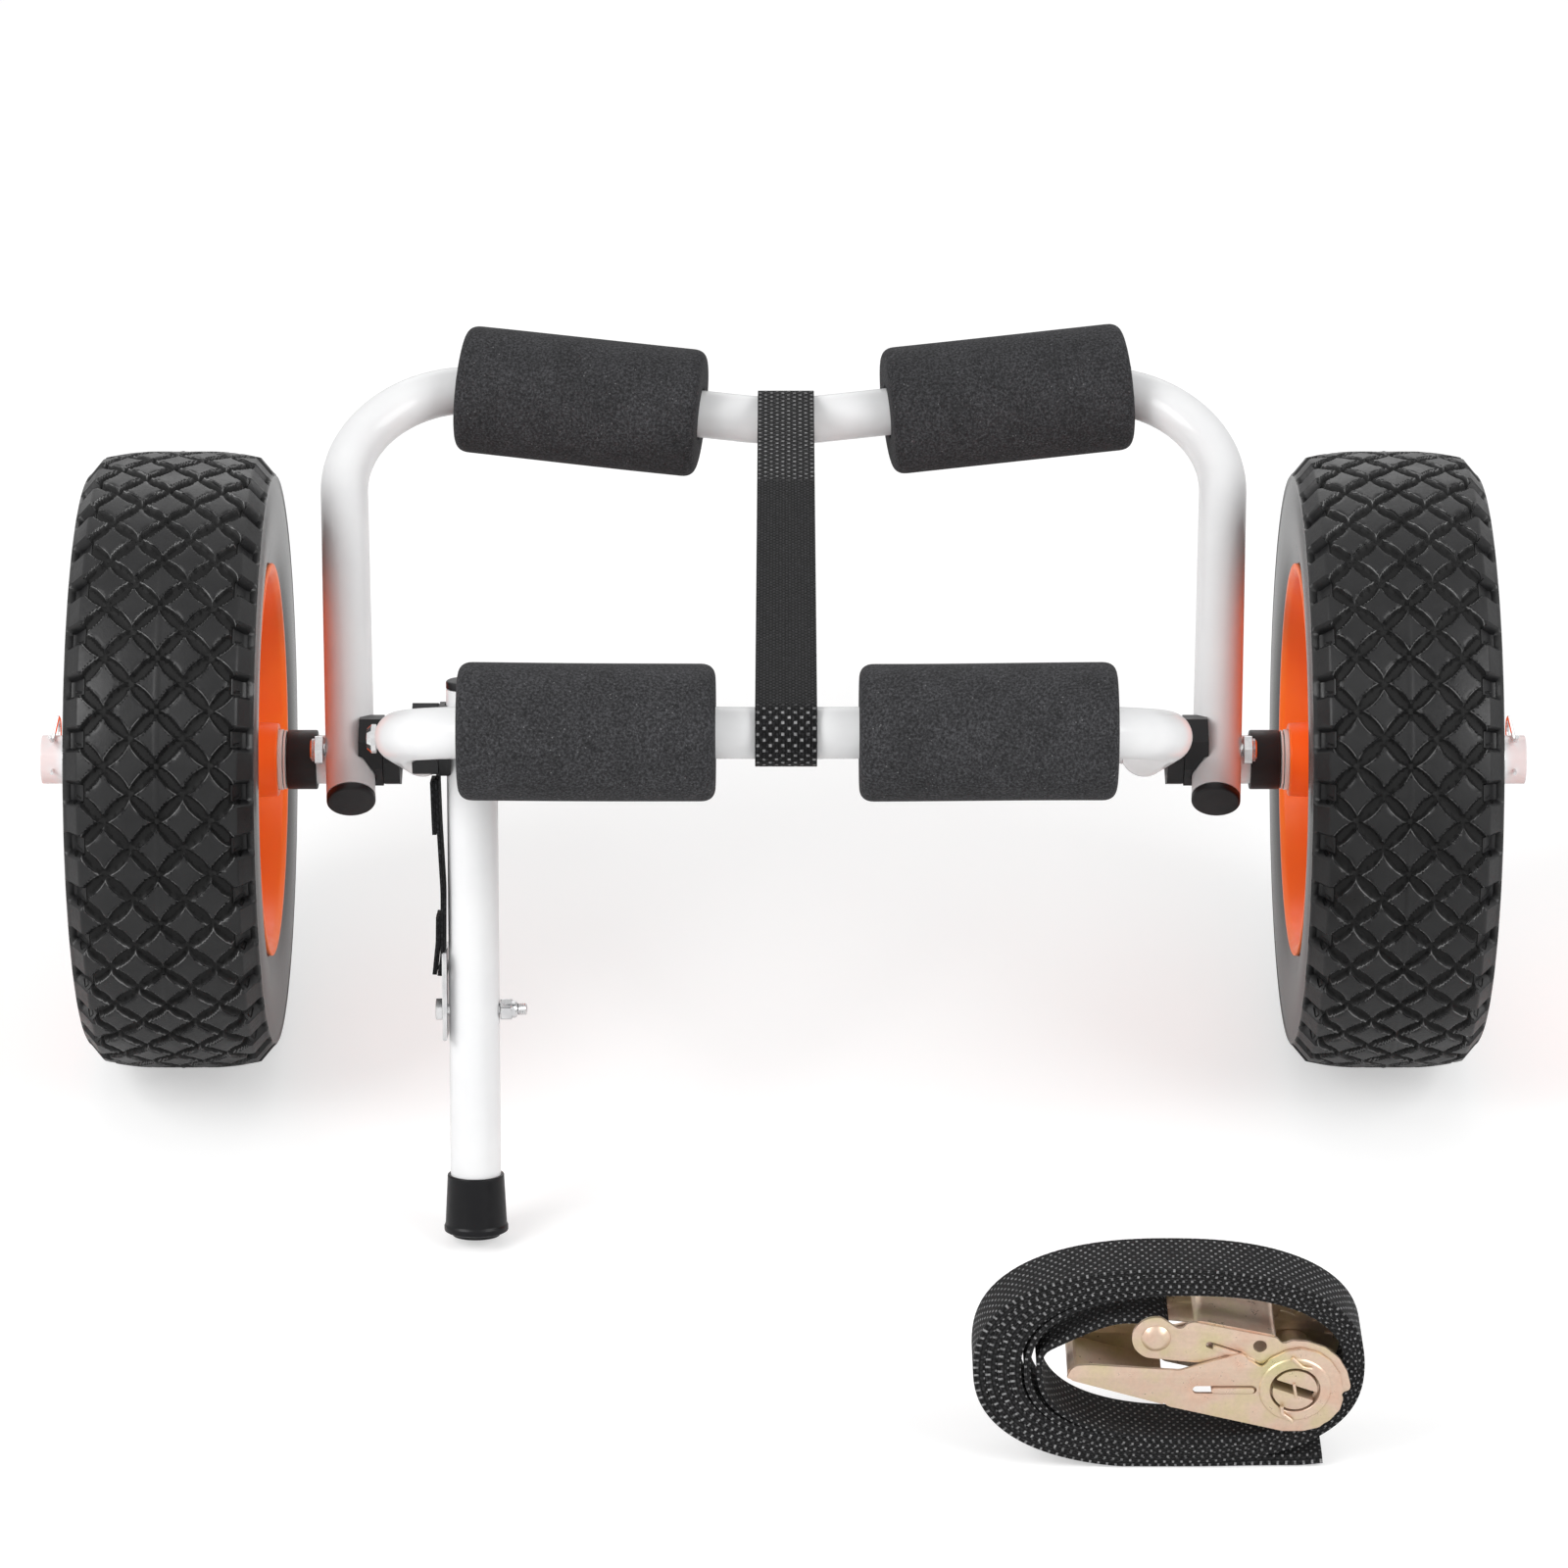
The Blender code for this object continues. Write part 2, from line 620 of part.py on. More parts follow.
def limiter_strap():
    """Webbing round both bars, its two ends lapped under the top run and sewn."""
    middle_s = BAR_APEX + MIDDLE_R * (1 / math.cos(BAR_SLOPE) - 1)
    rear = PIVOT + REAR_UP * middle_s
    front = PIVOT + FRONT_UP * middle_s
    bar_bend = (STRAP_WIDTH / 2 + abs(STRAP_X)) ** 2 / (2 * MIDDLE_R)
    inner = round_room(TUBE_R, TOUCH_GAP + bar_bend, STUB_SIDES)
    outer = inner + STRAP
    tilt = math.degrees(math.atan2(rear.z - front.z, rear.y - front.y))
    lap_in = outer + STRAP_LAP
    under = -STRAP - 0.0004
    way = Vector((math.cos(math.radians(tilt)), math.sin(math.radians(tilt))))
    up = Vector((-way.y, way.x))

    def at(end, along, above):
        point = Vector((end.y, end.z)) + way * along + up * above
        return (point.x, point.y)

    top = outer
    outline = [at(front, 0.0, top)]
    outline += [at(rear, 0.0, top)]
    outline += arc((rear.y, rear.z), outer, tilt + 75, tilt - 90, 11)
    outline += [at(rear, -lap_in, inner + under), at(rear, -lap_in, inner)]
    outline += [at(front, lap_in, inner), at(front, lap_in, inner + under)]
    outline += arc((front.y, front.z), outer, tilt + 270, tilt + 105, 11)
    made = plate("limiter_strap", outline, 0.0, STRAP_WIDTH)
    made.data.transform(
        Matrix.Translation((STRAP_X - STRAP_WIDTH / 2, 0.0, 0.0)) @ Matrix(((0, 1, 0, 0), (1, 0, 0, 0), (0, 0, 1, 0), (0, 0, 0, 1)))
    )
    made.data.flip_normals()
    put(made, "black_webbing")
    holes = [
        rod("rear_eye", inner, rear - Vector((0.05, 0, 0)), rear + Vector((0.05, 0, 0)), STUB_SIDES),
        rod("front_eye", inner, front - Vector((0.05, 0, 0)), front + Vector((0.05, 0, 0)), STUB_SIDES),
    ]
    return combine(made, holes, "DIFFERENCE", "MANIFOLD")


limiter_strap()


def crown_r(offset):
    """Radius of the tread's surface at a distance from the tyre's middle."""
    row = TREAD_WIDTH / TREAD_ROWS
    beyond = max(0.0, 2 * abs(offset) - row) / (TREAD_WIDTH - row)
    return WHEEL_R - CROWN_DROP * beyond**2


def tyre(name, side):
    """Solid tyre: a spun section whose tread band is split into raised diamonds."""
    half = TYRE_WIDTH / 2
    band = TREAD_WIDTH / 2
    ground = TREAD_DEPTH
    seat = round_room(RIM_SEAT_R, TOUCH_GAP, TREAD_PITCHES)
    lip = round_room(RIM_LIP_R, TOUCH_GAP, TREAD_PITCHES)
    seat_half = half - 0.008
    rows = [(-band + TREAD_WIDTH * i / TREAD_ROWS) for i in range(TREAD_ROWS + 1)]
    flank = [
        (band + 0.7 * (half - band), crown_r(band) - ground - 0.0035),
        (half, WHEEL_R - 0.0220),
        (half - 0.0030, RIM_LIP_R + 0.0070),
        (seat_half, lip),
        (seat_half, seat),
    ]
    section = [(x, crown_r(x) - ground) for x in rows]
    section += flank
    section += [(-x, r) for x, r in reversed(flank)]
    work = bmesh.new()
    verts = [work.verts.new((x, 0.0, -r)) for x, r in section]
    edges = [work.edges.new((a, b)) for a, b in zip(verts, verts[1:] + verts[:1])]
    bmesh.ops.spin(
        work,
        geom=verts + edges,
        axis=(1.0, 0.0, 0.0),
        cent=(0.0, 0.0, 0.0),
        steps=TREAD_PITCHES,
        angle=2 * math.pi,
        use_merge=True,
    )
    bmesh.ops.remove_doubles(work, verts=work.verts, dist=0.00002)
    bmesh.ops.recalc_face_normals(work, faces=work.faces)
    base = crown_r(band) - ground - 0.0005
    tread = [
        f for f in work.faces
        if all(abs(v.co.x) < band + 0.0001 and math.hypot(v.co.y, v.co.z) > base for v in f.verts)
    ]
    inner_edges = [e for e in {e for f in tread for e in f.edges}]
    between = [e for e in inner_edges if sum(f in tread for f in e.link_faces) == 2]
    poked = bmesh.ops.poke(work, faces=tread)
    for vert in poked["verts"]:
        reach = math.hypot(vert.co.y, vert.co.z)
        vert.co.yz = Vector(vert.co.yz) * (crown_r(vert.co.x) - ground) / reach
    triangles = set(poked["faces"])
    joined = bmesh.ops.dissolve_edges(work, edges=between, use_verts=False)
    blocks = [
        f for f in work.faces
        if f in triangles or (len(f.verts) == 4 and any(v in poked["verts"] for v in f.verts))
    ]
    bmesh.ops.inset_individual(work, faces=blocks, thickness=GROOVE / 2, depth=TREAD_DEPTH, use_even_offset=True)
    for face in blocks:
        for vert in face.verts:
            reach = math.hypot(vert.co.y, vert.co.z)
            vert.co.yz = Vector(vert.co.yz) * crown_r(vert.co.x) / reach
    mesh = bpy.data.meshes.new(name)
    work.to_mesh(mesh)
    work.free()
    made = bpy.data.objects.new(name, mesh)
    put(made, "black_tyre")
    made.location = (side * (TYRE_INNER_X + TYRE_WIDTH / 2), AXLE.y, AXLE.z)
    return made


def wheel_parts(side, word):
    """Everything on one stub axle, from the collar at the leg to the clip at the end."""
    middle = TYRE_INNER_X + TYRE_WIDTH / 2
    seat_half = TYRE_WIDTH / 2 - 0.008
    lip_half = seat_half + TOUCH_GAP
    hub_in = middle - seat_half - RIM_LIP
    bush_r = round_room(TUBE_R, RUNNING_GAP, RING_SIDES) + BUSH_WALL
    rim_bore = round_room(bush_r, TOUCH_GAP, RIM_SIDES)
    drum_in = RIM_SEAT_R - RIM_WALL
    start = hub_in + BUSH_FLANGE + TOUCH_GAP
    end = HUB_OUTER_X - BUSH_FLANGE - TOUCH_GAP
    web_out = middle - 0.002
    web_in = web_out - RIM_WEB

    def section(points):
        return [(r, side * x) for x, r in points] if side > 0 else [(r, side * x) for x, r in reversed(points)]

    lip_low = middle - lip_half
    lip_high = middle + lip_half
    rim = [
        (end, HUB_R),
        (web_out + 0.006, HUB_R),
        (web_out - 0.004, HUB_R + 0.014),
        (web_out + 0.004, drum_in),
        (lip_high + RIM_LIP, drum_in + 0.0040),
        (lip_high + RIM_LIP, RIM_LIP_R),
        (lip_high, RIM_LIP_R),
        (lip_high, RIM_SEAT_R),
        (lip_low, RIM_SEAT_R),
        (lip_low, RIM_LIP_R),
        (lip_low - RIM_LIP, RIM_LIP_R),
        (lip_low - RIM_LIP, drum_in + 0.0040),
        (web_in - 0.002, drum_in),
        (web_in - 0.008, HUB_R + 0.014),
        (web_in - 0.012, HUB_R),
        (start, HUB_R),
        (start, rim_bore),
        (end, rim_bore),
    ]
    place = (0.0, AXLE.y, AXLE.z)
    put(turned(f"{word}_rim", section(rim), "X", place, RIM_SIDES), "orange_rim")
    tyre(f"{word}_tyre", side)
    inner = round_room(TUBE_R, RUNNING_GAP, RING_SIDES)
    for key, face, way in (("inner", hub_in, 1), ("outer", HUB_OUTER_X, -1)):
        flange = [
            (face, HUB_R),
            (face + way * BUSH_FLANGE, HUB_R),
            (face + way * BUSH_FLANGE, bush_r),
            (face + way * BUSH_LENGTH, bush_r),
            (face + way * BUSH_LENGTH, inner),
            (face, inner),
        ]
        points = flange if way < 0 else list(reversed(flange))
        put(turned(f"{word}_{key}_bush", section(points), "X", place, RING_SIDES), "white_bush")

    def ring(name, low, high, radius, finish):
        ring_r = round_room(TUBE_R, TOUCH_GAP, RING_SIDES)
        points = [(high, radius), (low, radius), (low, ring_r), (high, ring_r)]
        put(turned(name, section(points), "X", place, RING_SIDES), finish)

    washer_in = hub_in - TOUCH_GAP
    collar_out = washer_in - WASHER - TOUCH_GAP
    collar_in = REAR_HALF + TUBE_R + 0.0045
    ring(f"{word}_axle_collar", collar_in, collar_out, COLLAR_R, "black_plastic")
    ring(f"{word}_inner_washer", washer_in - WASHER, washer_in, WASHER_R, "zinc")
    washer_out = HUB_OUTER_X + TOUCH_GAP
    ring(f"{word}_outer_washer", washer_out, washer_out + WASHER, WASHER_R, "zinc")


def clip(side, word):
    """A hairpin of spring wire: one leg through the axle, the other sprung over its top."""
    over = TUBE_R + CLIP_WIRE_R + TOUCH_GAP
    bend = over / 2
    route = [(-CLIP_TIP, 0.0), (CLIP_EYE, 0.0)]
    route += arc((CLIP_EYE, bend), bend, -72, 90, 8)
    route += [(0.004, over), (-0.004, over), (-0.009, over + 0.0018), (-0.0135, over + 0.0058)]
    x = side * CLIP_X
    points = [(x, AXLE.y + y, AXLE.z + z) for y, z in route]
    return put(pipe(f"{word}_axle_clip", points, CLIP_WIRE_R, 1), "zinc")


for side, word in ((-1, "left"), (1, "right")):
    wheel_parts(side, word)
    clip(side, word)

# Stand: its axes have Z up the tube, and its origin on the stand pivot
STAND_PIVOT = PIVOT + FRONT_UP * STAND_ALONG
SOLE_DROP = (STAND_PIVOT.z - SOLE_R * math.sin(STAND_LEAN)) / math.cos(STAND_LEAN)
stand_axes = empty("stand_axes", (0.0, STAND_PIVOT.y, STAND_PIVOT.z), -STAND_LEAN)
STAND_FACE_X = (STAND_X - TUBE_R + STAND_LIP - FRONT_HALF + TUBE_R) / 2

stand_end = -SOLE_DROP + 0.0040
stand_tube = rod("stand_tube", TUBE_R, (STAND_X, 0, stand_end), (STAND_X, 0, STAND_TAIL), 20)
put(stand_tube, "silver_tube", stand_axes)
stand_bore = rod(
    "stand_bore", TUBE_R - TUBE_WALL, (STAND_X, 0, stand_end - 0.01), (STAND_X, 0, STAND_TAIL + 0.01), 16
)
insert_hole = rod("insert_hole", INSERT_R + TOUCH_GAP, (STAND_X - 0.02, 0, 0), (STAND_X, 0, 0), 20)
link_hole = rod(
    "link_hole",
    LINK_BOLT_R + BOLT_GAP,
    (STAND_X - 0.02, 0, -LINK_BOLT_BELOW),
    (STAND_X + 0.02, 0, -LINK_BOLT_BELOW),
    16,
)
combine(stand_tube, [stand_bore, insert_hole, link_hole], "DIFFERENCE")
tube_cap("stand_cap", (STAND_X, 0, STAND_TAIL), (0, 0, 1), stand_axes, plug=0.008)

# Rubber foot: a cup over the tube's end with a ring on its sole
cup = round_room(TUBE_R, TOUCH_GAP, STUB_SIDES)
foot_profile = [
    (cup, -SOLE_DROP + FOOT_HEIGHT),
    (FOOT_TOP_R, -SOLE_DROP + FOOT_HEIGHT),
    (FOOT_R, -SOLE_DROP + 0.002),
    (FOOT_R - 0.0010, -SOLE_DROP + SOLE_DEPTH),
    (SOLE_R, -SOLE_DROP + SOLE_DEPTH),
    (SOLE_R, -SOLE_DROP),
    (SOLE_R - SOLE_RING, -SOLE_DROP),
    (SOLE_R - SOLE_RING, -SOLE_DROP + SOLE_DEPTH),
    (0.0, -SOLE_DROP + SOLE_DEPTH),
]
foot_profile = [(0.0, stand_end - TOUCH_GAP), (cup, stand_end - TOUCH_GAP)] + foot_profile
put(turned("stand_foot", foot_profile, "Z", (STAND_X, 0, 0), 20, closed=False), "black_rubber", stand_axes)

# Stand pivot: saddles, a bolt from outside the leg, and a threaded insert in the stand's tube
saddle(
    "stand_frame_saddle",
    STAND_FACE_X - TOUCH_GAP / 2,
    -FRONT_HALF + TUBE_R - REAR_LIP,
    -FRONT_HALF,
    STAND_BOLT_R,
    front_axes,
    STAND_ALONG,
)
stand_twin_axes = empty("stand_saddle_axes", (0.0, 0.0, 0.0), math.pi / 2, stand_axes)
saddle(
    "stand_saddle",
    STAND_FACE_X + TOUCH_GAP / 2,
    STAND_X - TUBE_R + STAND_LIP,
    STAND_X,
    STAND_BOLT_R,
    stand_twin_axes,
)
insert_low = STAND_X - math.sqrt(TUBE_R**2 - INSERT_R**2)
insert_high = insert_low + INSERT
bolt(
    "stand_pivot_bolt",
    -FRONT_HALF - TUBE_R - TOUCH_GAP,
    insert_high + 0.0010,
    STAND_BOLT_R,
    PIVOT_HEAD_R,
    STAND_HEAD,
    front_axes,
    STAND_ALONG,
)
insert = rod("stand_pivot_insert", INSERT_R, (insert_low, 0, 0), (insert_high, 0, 0), 16)
put(insert, "zinc", stand_axes)
insert_bore = rod(
    "insert_bore", STAND_BOLT_R + 0.0002, (STAND_X - 0.03, 0, 0), (STAND_X + 0.03, 0, 0), 16
)
combine(insert, [insert_bore], "DIFFERENCE")

# Strap tab and its bolt through the stand, with the lanyard that hangs from the pivot to the tab
tab_x = STAND_X - TUBE_R - TOUCH_GAP
tab = box(
    "strap_tab",
    (tab_x - TAB, -TAB_WIDTH / 2, -LINK_BOLT_BELOW - TAB_DOWN),
    (tab_x, TAB_WIDTH / 2, -LINK_BOLT_BELOW + TAB_UP),
    0.0004,
)
put(tab, "zinc", stand_axes)
tab_hole = rod(
    "tab_hole",
    LINK_BOLT_R + BOLT_GAP,
    (tab_x - 0.01, 0, -LINK_BOLT_BELOW),
    (tab_x + 0.01, 0, -LINK_BOLT_BELOW),
    16,
)
SLOT_Z = -LINK_BOLT_BELOW + TAB_UP - 0.0080
slot = box(
    "tab_slot",
    (tab_x - 0.01, -LANYARD_WIDTH / 2 - 0.0008, SLOT_Z - 0.0022),
    (tab_x + 0.01, LANYARD_WIDTH / 2 + 0.0008, SLOT_Z + 0.0022),
)
combine(tab, [tab_hole, slot], "DIFFERENCE")
link_head_x = tab_x - TAB - TOUCH_GAP
nut_low = STAND_X + TUBE_R + TOUCH_GAP
bolt(
    "link_bolt",
    link_head_x,
    nut_low + LINK_NUT + LINK_TAIL,
    LINK_BOLT_R,
    LINK_HEAD_R,
    LINK_HEAD,
    stand_twin_axes,
    -LINK_BOLT_BELOW,
)
nut("link_nut", nut_low, nut_low + LINK_NUT, LINK_HEAD_R - 0.0003, LINK_BOLT_R, stand_twin_axes, -LINK_BOLT_BELOW)
lanyard_x = tab_x - TAB - TOUCH_GAP
lanyard = box(
    "stand_lanyard",
    (lanyard_x - LANYARD, -LANYARD_WIDTH / 2, SLOT_Z - 0.0010),
    (lanyard_x, LANYARD_WIDTH / 2, -SADDLE_FLATS / 2 / math.cos(math.pi / 8) - TOUCH_GAP),
    0.0006,
)
put(lanyard, "black_webbing", stand_axes)


# Ratchet strap: the wound webbing, standing on its outer turn, and the ratchet in its eye
TIE_Y = AXLE_Y - TIE_AHEAD


def tie_centre_z():
    """Height of the coil's middle, so that its lowest turn just touches the ground."""
    return TIE_OUTER[1] + TIE_THICK / 2


def spiral(turn):
    """Middle of the webbing at a turn count from the inner end: an oval that grows and shifts."""
    share = turn / TIE_TURNS
    across_r = TIE_INNER[0] + (TIE_OUTER[0] - TIE_INNER[0]) * share
    up_r = TIE_INNER[1] + (TIE_OUTER[1] - TIE_INNER[1]) * share
    angle = 2 * math.pi * turn + math.radians(-90)
    swing = math.copysign(abs(math.cos(angle)) ** TIE_SQUARE, math.cos(angle))
    rise = math.copysign(abs(math.sin(angle)) ** TIE_SQUARE, math.sin(angle))
    return (TIE_SHIFT * (1 - share) + across_r * swing, up_r * rise)


def webbing_route():
    """From a loop round the ratchet's fixed bolt into the spiral, and out to the free tail."""
    loop_r = RATCHET_BOLT_R + TIE_THICK / 2 + 0.0008
    route = arc(RATCHET_BOLT, loop_r, -130, 80, 7)
    route += [(-0.0200, 0.0210), (-0.0320, 0.0160)]
    first = 0.72
    count = round((TIE_TURNS - first) * TIE_POINTS)
    turns = np.linspace(first, TIE_TURNS, count + 1)
    tail = [(TIE_TAIL * share, -TIE_OUTER[1]) for share in (1 / 3, 2 / 3, 1)]
    return route + [spiral(t) for t in turns] + tail


def least_self_gap(route):
    """Smallest distance between runs of the webbing that aren't neighbours, less its thickness."""
    points = np.array(route)
    steps = np.linspace(0.0, 1.0, 4, endpoint=False)
    fine = np.concatenate([points[:-1] + (points[1:] - points[:-1]) * t for t in steps])
    order = np.argsort(np.concatenate([np.arange(len(points) - 1) + t for t in steps]))
    fine = fine[order]
    run = np.concatenate([[0.0], np.cumsum(np.linalg.norm(np.diff(fine, axis=0), axis=1))])
    apart = np.linalg.norm(fine[:, None] - fine[None], axis=2)
    apart[np.abs(run[:, None] - run[None]) < 0.030] = 1.0
    return apart.min() - TIE_THICK, run[-1]


def tie_webbing():
    """The webbing: a strip on edge along its route, with its thickness from Solidify."""
    route = webbing_route()
    gap, length = least_self_gap(route)
    print(f"tie-down webbing: {length:.3f} m, least gap to itself {gap * 1000:.2f} mm")
    half = TIE_WIDTH / 2
    z = tie_centre_z()
    mesh = bpy.data.meshes.new("tie_down_webbing")
    verts = [(TIE_X + x, TIE_Y + side * half, z + rise) for x, rise in route for side in (-1, 1)]
    faces = [(2 * i, 2 * i + 2, 2 * i + 3, 2 * i + 1) for i in range(len(route) - 1)]
    mesh.from_pydata(verts, [], faces)
    made = bpy.data.objects.new("tie_down_webbing", mesh)
    put(made, "black_webbing")
    wall = made.modifiers.new("thickness", "SOLIDIFY")
    wall.thickness = TIE_THICK
    wall.offset = 0.0
    return made


tie_webbing()
tie_axes = empty("ratchet_axes", (TIE_X, TIE_Y, tie_centre_z()))
SIDE_IN = TIE_WIDTH / 2 + PLATE_ROOM


def two_circle_outline(small, small_r, large, large_r):
    """The outline round two circles and the straight edges that touch both, in order."""
    way = Vector(small) - Vector(large)
    heading = math.degrees(math.atan2(way.y, way.x))
    lean = math.degrees(math.acos((large_r - small_r) / way.length))
    ends = arc(large, large_r, heading + lean, heading + 360 - lean, 14)
    return ends + arc(small, small_r, heading - lean, heading + lean, 6)


def paired_plates(name, outline, inner_y, finish="gold_zinc"):
    """Two equal side plates, one each side of the webbing, from one outline."""
    front = plate(name, outline, -inner_y - PLATE, -inner_y)
    back = plate(name + "_back", outline, inner_y, inner_y + PLATE)
    put(front, finish, tie_axes)
    return front, back


# Ratchet frame: two plates and the flange that joins them along the top
frame_outline = two_circle_outline(RATCHET_BOLT, FRAME_END_R, RATCHET_SPINDLE, FRAME_ROUND_R)
frame_plate, frame_back = paired_plates("ratchet_frame", frame_outline, SIDE_IN)
line = Vector(RATCHET_SPINDLE) - Vector(RATCHET_BOLT)
reach = line.length
heading = math.atan2(line.y, line.x)
edge_lean = math.asin((FRAME_ROUND_R - FRAME_END_R) / reach)
flange = box(
    "ratchet_flange",
    (0.012, -SIDE_IN - PLATE / 2, FRAME_END_R - PLATE),
    (reach * 0.62, SIDE_IN + PLATE / 2, FRAME_END_R),
)
flange.data.transform(
    Matrix.Translation((RATCHET_BOLT[0], 0.0, RATCHET_BOLT[1]))
    @ Matrix.Rotation(-heading - edge_lean, 4, "Y")
)
combine(frame_plate, [frame_back, flange], "UNION")
spindle_room = rod(
    "spindle_room",
    SPINDLE_R + RUNNING_GAP,
    (RATCHET_SPINDLE[0], -0.03, RATCHET_SPINDLE[1]),
    (RATCHET_SPINDLE[0], 0.03, RATCHET_SPINDLE[1]),
    20,
)
bolt_room = rod(
    "ratchet_bolt_room",
    RATCHET_BOLT_R + TOUCH_GAP,
    (RATCHET_BOLT[0], -0.03, RATCHET_BOLT[1]),
    (RATCHET_BOLT[0], 0.03, RATCHET_BOLT[1]),
    16,
)
combine(frame_plate, [spindle_room, bolt_room], "DIFFERENCE")

# Fixed bolt that the webbing's sewn end goes round
pin_half = SIDE_IN + PLATE + TOUCH_GAP
pin_profile = [
    (0.0, pin_half + 0.0018),
    (0.0040, pin_half + 0.0014),
    (0.0054, pin_half),
    (RATCHET_BOLT_R, pin_half),
    (RATCHET_BOLT_R, -pin_half),
    (0.0054, -pin_half),
    (0.0040, -pin_half - 0.0014),
    (0.0, -pin_half - 0.0018),
]
pin = turned("ratchet_bolt", pin_profile, "Y", (RATCHET_BOLT[0], 0, RATCHET_BOLT[1]), 14, closed=False)
put(pin, "gold_zinc", tie_axes)

# Handle: two plates outside the frame, a grip across their tip, hinged on the spindle
HANDLE_IN = SIDE_IN + PLATE + TOUCH_GAP
sx, sz = RATCHET_SPINDLE
handle_outline = [(sx - 0.0830, sz + 0.0085), (sx - 0.0880, sz + 0.0035), (sx - 0.0850, sz + 0.0020)]
handle_outline += [(sx - 0.0470, sz - 0.0080)]
handle_outline += arc(RATCHET_SPINDLE, HANDLE_ROUND_R, 254, 472, 14)
handle_outline += [(sx - 0.0217, sz + 0.0120), (sx - 0.0450, sz + 0.0070)]
handle_plate, handle_back = paired_plates("ratchet_handle", handle_outline, HANDLE_IN)
grip = rod("handle_grip", 0.0026, (sx - 0.0835, -HANDLE_IN - PLATE / 2, sz + 0.0048), (sx - 0.0835, HANDLE_IN + PLATE / 2, sz + 0.0048), 12)
combine(handle_plate, [handle_back, grip], "UNION")
handle_room = rod("handle_room", SPINDLE_R + RUNNING_GAP, (sx, -0.03, sz), (sx, 0.03, sz), 20)
combine(handle_plate, [handle_room], "DIFFERENCE")


def spindle():
    """Two half-moon bars side by side, joined at their ends by discs, with a slot for webbing."""
    half = HANDLE_IN + PLATE + TOUCH_GAP
    bar = rod("ratchet_spindle", SPINDLE_R, (sx, -half, sz), (sx, half, sz), 20)
    put(bar, "gold_zinc", tie_axes)
    discs = [
        rod("spindle_disc_front", DISC_R, (sx, -half - DISC, sz), (sx, -half + 0.0001, sz), 20),
        rod("spindle_disc_back", DISC_R, (sx, half - 0.0001, sz), (sx, half + DISC, sz), 20),
    ]
    combine(bar, discs, "UNION")
    gap = box(
        "spindle_slot",
        (-SPINDLE_R - 0.01, -SIDE_IN, -SPINDLE_SLOT / 2),
        (SPINDLE_R + 0.01, SIDE_IN, SPINDLE_SLOT / 2),
    )
    gap.data.transform(Matrix.Translation((sx, 0.0, sz)) @ Matrix.Rotation(math.radians(20), 4, "Y"))
    return combine(bar, [gap], "DIFFERENCE")


spindle()

bpy.context.view_layer.update()
for label, place in (("axle", AXLE), ("fold pivot", PIVOT), ("stand pivot", STAND_PIVOT)):
    print(f"{label}: y {place.y:.5f}, z {place.z:.5f}")
print(f"stand pivot to sole: {SOLE_DROP:.4f}")
sole_point = stand_axes.matrix_world @ Vector((STAND_X, SOLE_R - SOLE_RING / 2, -SOLE_DROP))
print(f"sole: y {sole_point.y:.6f}, z {sole_point.z:.6f}")
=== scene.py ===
# %% [markdown]
# A folding trolley that carries a kayak to the water, photographed from a little above with its
# ratchet strap lying in front of it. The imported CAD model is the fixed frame: every piece below is
# laid where a CAD body holds it, so that it moves with that body when the trolley folds.

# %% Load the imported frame
import json
import math

import bmesh
import bpy
import numpy as np
from mathutils import Matrix, Vector


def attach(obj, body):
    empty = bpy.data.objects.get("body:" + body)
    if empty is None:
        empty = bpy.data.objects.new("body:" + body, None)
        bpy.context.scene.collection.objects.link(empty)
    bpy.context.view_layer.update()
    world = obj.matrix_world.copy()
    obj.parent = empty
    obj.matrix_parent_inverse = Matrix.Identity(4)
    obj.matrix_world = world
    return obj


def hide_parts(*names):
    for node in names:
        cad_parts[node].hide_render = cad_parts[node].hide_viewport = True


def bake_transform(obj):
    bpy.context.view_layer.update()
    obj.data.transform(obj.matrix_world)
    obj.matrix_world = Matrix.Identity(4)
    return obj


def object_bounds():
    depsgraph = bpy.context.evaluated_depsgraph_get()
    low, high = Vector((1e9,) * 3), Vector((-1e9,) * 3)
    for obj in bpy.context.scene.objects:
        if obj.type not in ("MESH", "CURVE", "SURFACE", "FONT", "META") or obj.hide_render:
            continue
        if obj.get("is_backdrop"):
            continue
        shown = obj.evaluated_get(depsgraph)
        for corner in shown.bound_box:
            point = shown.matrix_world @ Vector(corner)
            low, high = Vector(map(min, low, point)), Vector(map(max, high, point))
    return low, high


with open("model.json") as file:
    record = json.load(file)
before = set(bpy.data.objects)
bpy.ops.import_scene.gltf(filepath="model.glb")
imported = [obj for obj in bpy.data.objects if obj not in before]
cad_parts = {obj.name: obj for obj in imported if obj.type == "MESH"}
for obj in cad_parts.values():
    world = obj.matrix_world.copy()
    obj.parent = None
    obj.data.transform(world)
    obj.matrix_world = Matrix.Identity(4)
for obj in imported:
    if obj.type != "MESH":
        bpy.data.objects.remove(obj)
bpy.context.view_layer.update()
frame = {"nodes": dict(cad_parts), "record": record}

# %% [markdown]
# The camera stands 2.7 m in front of the wheels' axle and looks down 26.5 degrees. A long lens
# keeps the two wheels nearly equal, and the picture is square.

